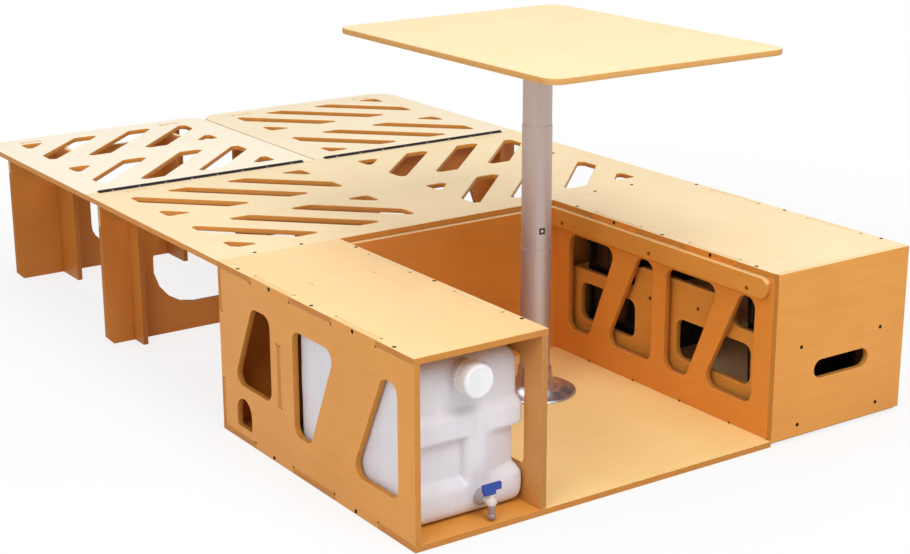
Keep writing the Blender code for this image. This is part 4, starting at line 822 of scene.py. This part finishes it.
SPOUT = (
    (0.0050, 0.0165), (0.0076, 0.0165), (0.0079, 0.0170), (0.0079, 0.0222), (0.0064, 0.0240),
    (0.0064, 0.0300), (0.0070, 0.0330), (0.0070, 0.0440), (0.0040, 0.0455),
)
spout = turn_on_lathe("tap_spout", SPOUT, spot(TAP_X, SPOUT_Y, 0.0), 36)
done(spout, "canister", spout_grey)
STEM = (
    (0.0040, 0.0500), (0.0055, 0.0500), (0.0055, 0.0560), (0.0046, 0.0566), (0.0046, 0.0595),
    (0.0010, 0.0595),
)
stem = turn_on_lathe("tap_stem", STEM, spot(TAP_X, SPOUT_Y, 0.0), 32)
done(stem, "canister", tap_white)


# How deep the lever's bar starts above its hub's foot, and where the hub stands along it
LEVER_HUB_DROP = 0.0068
LEVER_HUB = (0.003, 0.0265)
LEVER_EASE = 0.0011


def model_lever():
    """Tap lever: a wide bar with a deep hub under its left half, all edges eased."""
    low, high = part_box("tap_lever")
    middle = (low + high) / 2
    bar_foot = low.z + LEVER_HUB_DROP
    lever = start(
        "cube", "turned_tap_lever", size=1.0,
        scale=(high.x - low.x, high.y - low.y, high.z - bar_foot),
        location=(middle.x, middle.y, (high.z + bar_foot) / 2))
    hub_left, hub_right = (low.x + place for place in LEVER_HUB)
    cut_across(0, hub_left)
    cut_across(0, hub_right)
    pick(
        lever,
        lambda face: face.normal.z < -0.9
        and hub_left < face.calc_center_median().x < hub_right)
    bpy.ops.mesh.extrude_region_move(
        TRANSFORM_OT_translate={"value": (0.0, 0.0, low.z - bar_foot)})
    pick(
        lever,
        lambda edge: len(edge.link_faces) == 2
        and edge.link_faces[0].normal.dot(edge.link_faces[1].normal) < 0.5,
        "edges")
    bevel(LEVER_EASE, 3)
    smooth_under(35.0)
    return lever


done(model_lever(), "tap_handle", lever_blue, ["tap_lever"])


# Hinges

HINGE_PIN = spot(0.0, 1.300, 0.3428)
HINGE_KNUCKLE = 0.0021
HINGE_KNUCKLE_GAP = 0.0005
HINGE_KNUCKLE_EASE = 0.00025
HINGE_KNUCKLES = 20
HINGE_PLATE = 0.0012
HINGE_PLATE_EASE = 0.0003
HINGE_LEAF = 0.0075
HINGE_LEAF_GAP = 0.0004


def model_leaf(side, leaf, body):
    """One leaf of a piano hinge: an eased strip, and every other knuckle round the pin."""
    low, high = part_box(side + "_hinge_" + leaf + "_leaf")
    length = high.x - low.x
    way = -1.0 if leaf == "near" else 1.0
    strip = start(
        "cube", "turned_" + side + "_" + leaf + "_leaf", size=1.0,
        scale=(length, HINGE_LEAF - HINGE_LEAF_GAP, HINGE_PLATE),
        location=(low.x + length / 2, HINGE_PIN.y + way * (HINGE_LEAF + HINGE_LEAF_GAP) / 2,
                  low.z + HINGE_PLATE / 2))
    pick(
        strip, lambda edge: min(vert.co.z for vert in edge.verts) > low.z + HINGE_PLATE / 2,
        "edges")
    bevel(HINGE_PLATE_EASE, 2)
    pitch = length / HINGE_KNUCKLES
    for number in range(0 if leaf == "near" else 1, HINGE_KNUCKLES, 2):
        bpy.ops.mesh.select_all(action="DESELECT")
        bpy.ops.mesh.primitive_cylinder_add(
            vertices=16, radius=HINGE_KNUCKLE, depth=pitch - HINGE_KNUCKLE_GAP,
            location=(low.x + pitch * (number + 0.5), HINGE_PIN.y, HINGE_PIN.z),
            rotation=(0.0, math.radians(90.0), 0.0))
    pick(
        strip,
        lambda edge: len(edge.link_faces) == 2
        and sorted(abs(face.normal.x) > 0.9 for face in edge.link_faces) == [False, True]
        and (edge.verts[0].co - HINGE_PIN).yz.length < HINGE_KNUCKLE + 10 * MERGE,
        "edges")
    bevel(HINGE_KNUCKLE_EASE, 2)
    smooth_under(40.0)
    done(strip, body, hinge_black, [side + "_hinge_" + leaf + "_leaf"])


for side in ("left", "right"):
    model_leaf(side, "near", "unit")
    model_leaf(side, "far", side + "_flap")


# Crates

CRATE_RIB_PITCH = 0.030
CRATE_RIB_WIDTH = 0.0040
CRATE_RIB_PROUD = 0.0018
CRATE_RIB_EASE = CRATE_RIB_PROUD * 0.8
# How far the ribs keep from the crate's foot, from its top and from its corners along both walls
CRATE_RIB_FOOT = 0.020
CRATE_RIB_HEAD = 0.022
CRATE_WIDE_MARGIN = 0.06
CRATE_DEEP_MARGIN = 0.04
# How far the wall stands back from the crate's box at its foot and under its rim
CRATE_WALL_FOOT = 0.010
CRATE_WALL_HEAD = 0.004
CRATE_RIM_HEIGHT = 0.012


def model_crate_rib(name, foot, head, slope):
    """One upright rib that leans with the crate's wall, its upright edges rounded."""
    rib = start(
        "cube", name, size=1.0, scale=(CRATE_RIB_WIDTH, 2 * CRATE_RIB_PROUD, head - foot),
        location=(0.0, 0.0, (head + foot) / 2))
    pick(rib, lambda vert: vert.co.z < (head + foot) / 2, "verts")
    bpy.ops.transform.translate(value=(0.0, slope * (head - foot), 0.0))
    upright = (head - foot) / 2
    pick(rib, lambda edge: abs(edge.verts[0].co.z - edge.verts[1].co.z) > upright, "edges")
    bevel(CRATE_RIB_EASE, 2)
    smooth_under(50.0)
    return rib


def spread(middle, length):
    """Places at the ribs' pitch, centred, over as much of a length as they fill."""
    count = int(length / CRATE_RIB_PITCH)
    return [middle + (number - count / 2) * CRATE_RIB_PITCH for number in range(count + 1)]


def rib_crate(crate):
    """Upright ribs round a crate under its rim: one is modelled, and the others are copies of it."""
    low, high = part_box(crate)
    middle = (low + high) / 2
    foot = low.z + CRATE_RIB_FOOT
    head = high.z - CRATE_RIB_HEAD
    slope = (CRATE_WALL_FOOT - CRATE_WALL_HEAD) / (high.z - CRATE_RIM_HEIGHT - low.z)
    inset = CRATE_WALL_FOOT - slope * (head - low.z)
    pattern = model_crate_rib(crate + "_rib_pattern", foot, head, slope)
    places = []
    for x in spread(middle.x, high.x - low.x - CRATE_WIDE_MARGIN):
        places += [(x, low.y + inset, 0.0), (x, high.y - inset, math.pi)]
    for y in spread(middle.y, high.y - low.y - CRATE_DEEP_MARGIN):
        places += [(low.x + inset, y, -math.pi / 2), (high.x - inset, y, math.pi / 2)]
    for number, (x, y, turn) in enumerate(places):
        matrix = Matrix.Translation((x, y, 0.0)) @ Matrix.Rotation(turn, 4, "Z")
        name = crate + "_rib_" + str(number + 1)
        copy_to(pattern, name, matrix, crate, crate_black)
    bpy.data.objects.remove(pattern, do_unlink=True)


for crate in ("front_crate", "rear_crate"):
    rib_crate(crate)


# Release button

BUTTON_TURN = math.radians(-13.5)
BUTTON_OUT = 0.0300
BUTTON_Z = 0.3555
RING = (
    (0.0034, 0.0), (0.0058, 0.0), (0.0058, 0.0010), (0.0055, 0.0014), (0.0036, 0.0014),
    (0.0034, 0.0010), (0.0034, 0.0),
)
DOME = ((0.0026, 0.0), (0.0026, 0.0009), (0.0022, 0.0012), (0.0014, 0.0014), (0.0004, 0.0014))


def wrap_on_tube(part, radius):
    """Bend a part that faces forward so that its front follows a tube's curve."""
    bpy.ops.object.transform_apply(location=True, rotation=True, scale=True)
    for vert in part.data.vertices:
        vert.co.y += radius - math.sqrt(radius ** 2 - vert.co.x ** 2)


for name, profile, closed, material, replaced in (
        ("button_ring", RING, True, button_steel, ["post_button"]),
        ("button_dome", DOME, False, cap_white, [])):
    out = BUTTON_OUT - max(height for _, height in profile)
    part = turn_on_lathe(
        name, profile, (0.0, -out, BUTTON_Z), 32, lie_forward=True, closed=closed)
    wrap_on_tube(part, BUTTON_OUT)
    on_post = Matrix.Translation(spot(POST_X, POST_Y, 0.0)) @ Matrix.Rotation(BUTTON_TURN, 4, "Z")
    part.data.transform(on_post)
    done(part, "release_button", material, replaced)


# Screws

SCREW_RADIUS = 0.0038
SCREW_HEAD = 0.0016
SCREW_PROUD = 0.0004
SCREW_CHAMFER = 0.0001
SCREW_STEP = 0.0009
RECESS_DEPTH = 0.0005
# How far each screw of a row is turned on from the one before
SCREW_TURN = 1.3
screw_dark = worn_metal(
    "browned_screw_steel", SCREW_DARK, 0.80, 0.002, metallic=0.0, specular=0.0)
screw_light = worn_metal("bright_screw_steel", SCREW_LIGHT, 0.34, 0.002, metallic=0.4)


def model_screw():
    """Countersunk head with a round recess, flush at z = 0 and facing up."""
    screw = start(
        "cylinder", "screw_pattern", vertices=12, radius=SCREW_RADIUS, depth=SCREW_HEAD,
        location=(0.0, 0.0, SCREW_PROUD - SCREW_HEAD / 2))
    pick(screw, lambda face: face.normal.z > 0.9)
    bpy.ops.mesh.inset(thickness=SCREW_STEP, depth=SCREW_CHAMFER)
    bpy.ops.mesh.inset(thickness=SCREW_STEP, depth=0.0)
    bpy.ops.mesh.inset(thickness=SCREW_CHAMFER, depth=-RECESS_DEPTH)
    bpy.ops.object.mode_set(mode="OBJECT")
    return screw


screw_pattern = model_screw()


def drive_screw(name, at, way, body, turn=0.0, size=1.0, material=screw_dark):
    """Copy the screw to a place, facing along a direction."""
    aim = Vector(way).to_track_quat("Z", "Y").to_matrix().to_4x4()
    spin = Matrix.Rotation(turn, 4, "Z")
    matrix = Matrix.Translation(at) @ aim @ spin @ Matrix.Scale(size, 4)
    copy_to(screw_pattern, name, matrix, body, material)


def drive_row(name, places, way, body):
    """Screws at places of the drawing, each turned differently."""
    for number, place in enumerate(places):
        drive_screw(
            name + "_screw_" + str(number + 1), spot(*place), way, body, number * SCREW_TURN)


UP = (0, 0, 1)
LEFTWARD = (-1, 0, 0)
RIGHTWARD = (1, 0, 0)
FORWARD = (0, -1, 0)
TOP_SCREW_Y = (0.067, 0.335, 0.608)
SIDE_SCREW_Y = (0.188, 0.478)
CLEAT_SCREW_Y = (0.072, 0.353, 0.635)
CLEAT_SCREW_Z = 0.300
LEFT_CLEAT_FACE = 0.2823
RIGHT_CLEAT_FACE = 0.7907
PANEL_SCREW_X = (0.085, 0.188, 0.922, 1.025)
PANEL_SCREW_Y = 0.688
DRAWER_SCREW_X = (0.870, 1.083)
DRAWER_SCREW_Z = (0.031, 0.187)
DRAWER_SIDE_SCREWS = ((0.8277, 0.387, 0.191), (0.8277, 0.243, 0.206))
BOX_WALLS = (
    ("left_top_outer", 0.0, 1), ("left_top_inner", LEFT_BAY_WALL, -1),
    ("right_top_inner", RIGHT_BAY_WALL, 1), ("right_top_outer", UNIT_WIDTH, -1),
)
OUTER_WALLS = (("left_outer", 0.0, LEFTWARD), ("right_outer", UNIT_WIDTH, RIGHTWARD))
BAY_WALLS = (("left", LEFT_BAY_WALL, RIGHTWARD), ("right", RIGHT_BAY_WALL, LEFTWARD))

for name, x, inward in BOX_WALLS:
    drive_row(name, [(x + inward * PLY / 2, y, DECK) for y in TOP_SCREW_Y], UP, "unit")
for name, x, way in (OUTER_WALLS[0], ("left_inner", LEFT_BAY_WALL, RIGHTWARD),
                     ("right_inner", RIGHT_BAY_WALL, LEFTWARD), OUTER_WALLS[1]):
    drive_row(name + "_high", [(x, y, DECK - PLY / 2) for y in SIDE_SCREW_Y], way, "unit")
for name, x, way in OUTER_WALLS:
    drive_row(name + "_low", [(x, y, PLY / 2) for y in SIDE_SCREW_Y], way, "unit")
for name, x, way in (("left_cleat", LEFT_CLEAT_FACE, RIGHTWARD),
                     ("right_cleat", RIGHT_CLEAT_FACE, LEFTWARD)):
    drive_row(name, [(x, y, CLEAT_SCREW_Z) for y in CLEAT_SCREW_Y], way, "unit")
drive_row("near_panel", [(x, PANEL_SCREW_Y, DECK) for x in PANEL_SCREW_X], UP, "unit")
drive_row(
    "drawer_front", [(x, 0.0, z) for x in DRAWER_SCREW_X for z in DRAWER_SCREW_Z], FORWARD, "drawer")
drive_row("drawer_side", DRAWER_SIDE_SCREWS, LEFTWARD, "drawer")

# Bright screws along both hinges, on the near and the far leaf
HINGE_SCREWS = 8
HINGE_SCREW_OUT = 0.0049
HINGE_SCREW_SIZE = 0.62
HINGE_SCREW_TURN = 0.9
for side in ("left", "right"):
    for leaf, way, body in (("near", -1, "unit"), ("far", 1, side + "_flap")):
        low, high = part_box(side + "_hinge_" + leaf + "_leaf")
        pitch = (high.x - low.x) / HINGE_SCREWS
        y = HINGE_PIN.y + way * HINGE_SCREW_OUT
        for number in range(HINGE_SCREWS):
            drive_screw(
                side + "_" + leaf + "_hinge_screw_" + str(number + 1),
                (low.x + pitch * (number + 0.5), y, low.z + HINGE_PLATE), UP, body,
                number * HINGE_SCREW_TURN, HINGE_SCREW_SIZE, screw_light)

# Round reliefs that the cutter leaves at the ends of every finger: painted shade, dark discs copied
# from the screw head stand in for the shade inside them
FINGER_ENDS = (0.1156, 0.2606, 0.4056, 0.5505)
RELIEF = 0.42
BAY_RELIEF = RELIEF * 1.2
RELIEF_TURN = 0.4
RELIEF_OFFSET = 0.0005
BAY_RELIEF_OFFSET = 0.0012


def shade_finger_reliefs(name, place, way, size=RELIEF):
    """A row of dark discs, painted shade of the reliefs at the fingers' ends, at the place that a
    function gives for each.
    """
    for number, y in enumerate(FINGER_ENDS):
        shade_disc_name = name + "_relief_shade_disc_" + str(number + 1)
        drive_screw(shade_disc_name, spot(*place(y)), way, "unit", RELIEF_TURN, size)


for name, x, inward in BOX_WALLS:
    relief_x = x + inward * (PLY + RELIEF_OFFSET)
    shade_finger_reliefs(name, lambda y: (relief_x, y, DECK), UP)
for name, x, way in OUTER_WALLS:
    for z, level in ((DECK - PLY - RELIEF_OFFSET, "high"), (PLY + RELIEF_OFFSET, "low")):
        shade_finger_reliefs(name + "_" + level, lambda y: (x, y, z), way)
for name, x, way in BAY_WALLS:
    shade_finger_reliefs(
        name + "_bay", lambda y: (x, y, PLY + BAY_RELIEF_OFFSET), way, BAY_RELIEF)
bpy.data.objects.remove(screw_pattern, do_unlink=True)


# Light and floor


# Name, place, target, size and power of each lamp
SOFTBOXES = (
    ("overhead_softbox", (0.0, 0.7, 4.3), (0.0, 0.3, 0.3), 3.6, 64.0),
    ("front_softbox", (-0.3, -3.2, 3.4), (0.0, -0.4, 0.2), 1.8, 82.0),
    ("left_softbox", (-3.4, -2.3, 2.5), (0.0, -0.2, 0.25), 2.0, 48.0),
)
# Strength of the surrounding light, where 1 is the white that the camera sees
SKY_LIGHT = 0.44
WHITE = (1.0, 1.0, 1.0)
FLOOR_SIZE = 60.0
FLOOR_DROP = 0.0005
FLOOR_GREY = (0.86, 0.86, 0.86)
# Share of white in the floor near the unit, and between which distances it grows to all white
FLOOR_WHITE = 0.80
FLOOR_FADE = (1.1, 2.2)


def add_softbox(name, at, target, size, power):
    """Square soft lamp aimed at a point."""
    bpy.ops.object.select_all(action="DESELECT")
    bpy.ops.object.light_add(type="AREA", location=at)
    lamp = bpy.context.object
    lamp.name = name
    lamp.data.size = size
    lamp.data.energy = power
    lamp.rotation_euler = (Vector(target) - Vector(at)).to_track_quat("-Z", "Y").to_euler()


def light_world():
    """White all round for the camera, and a plain soft light on the object."""
    world = bpy.data.worlds.new("white_studio")
    bpy.context.scene.world = world
    world.use_nodes = True
    backdrop = NodeTree(world.node_tree)
    background = world.node_tree.nodes["Background"]
    backdrop.feed(background.inputs["Color"], rgb(WHITE))
    strength = backdrop.seen() * (1.0 - SKY_LIGHT) + SKY_LIGHT
    backdrop.feed(background.inputs["Strength"], strength)


def pale_floor():
    """Pale grey that keeps a shadow near the unit and fades to the white of the backdrop."""
    pale = Finish("pale_floor")
    pale.coat(Base_Color=rgb(FLOOR_GREY), Roughness=0.9)
    distance = pale.node("ShaderNodeVectorMath", {"operation": "LENGTH"}, {0: pale.point()}, "Value")
    fade = distance.within(*FLOOR_FADE)
    whiteness = pale.seen() * (fade * (1.0 - FLOOR_WHITE) + FLOOR_WHITE)
    glow = pale.node("ShaderNodeEmission", sockets={"Color": rgb(WHITE), "Strength": 1.0})
    shader = Tone(pale, pale.shader.outputs[0])
    surface = pale.node("ShaderNodeMixShader", sockets={0: whiteness, 1: shader, 2: glow})
    pale.feed(pale.nodes.nodes["Material Output"].inputs["Surface"], surface)
    return pale.material


for softbox in SOFTBOXES:
    add_softbox(*softbox)
light_world()

bpy.ops.object.select_all(action="DESELECT")
bpy.ops.mesh.primitive_plane_add(size=FLOOR_SIZE, location=(0.0, 0.0, -FLOOR_DROP))
floor = bpy.context.object
floor.name = "studio_floor"
floor.data.materials.append(pale_floor())


# Camera, standing where the photograph was taken from

CAMERA_AT = (-2.0332, -3.2009, 1.2887)
YAW = math.radians(34.413)
PITCH = math.radians(16.883)
ROLL = math.radians(-0.164)
FOCAL_LENGTH = 70.485
SENSOR_WIDTH = 36.0

ahead = Vector((math.sin(YAW) * math.cos(PITCH), math.cos(YAW) * math.cos(PITCH), -math.sin(PITCH)))
right = Vector((math.cos(YAW), -math.sin(YAW), 0.0))
up = right.cross(ahead)
across = right * math.cos(ROLL) + up * math.sin(ROLL)
upward = up * math.cos(ROLL) - right * math.sin(ROLL)
bpy.ops.object.camera_add(location=CAMERA_AT)
camera = bpy.context.object
camera.name = "photo_camera"
camera.rotation_euler = Matrix((across, upward, -ahead)).transposed().to_euler()
camera.data.lens = FOCAL_LENGTH
camera.data.sensor_width = SENSOR_WIDTH
camera.data.sensor_fit = "HORIZONTAL"
bpy.context.scene.camera = camera
bpy.context.scene.view_settings.view_transform = "Standard"
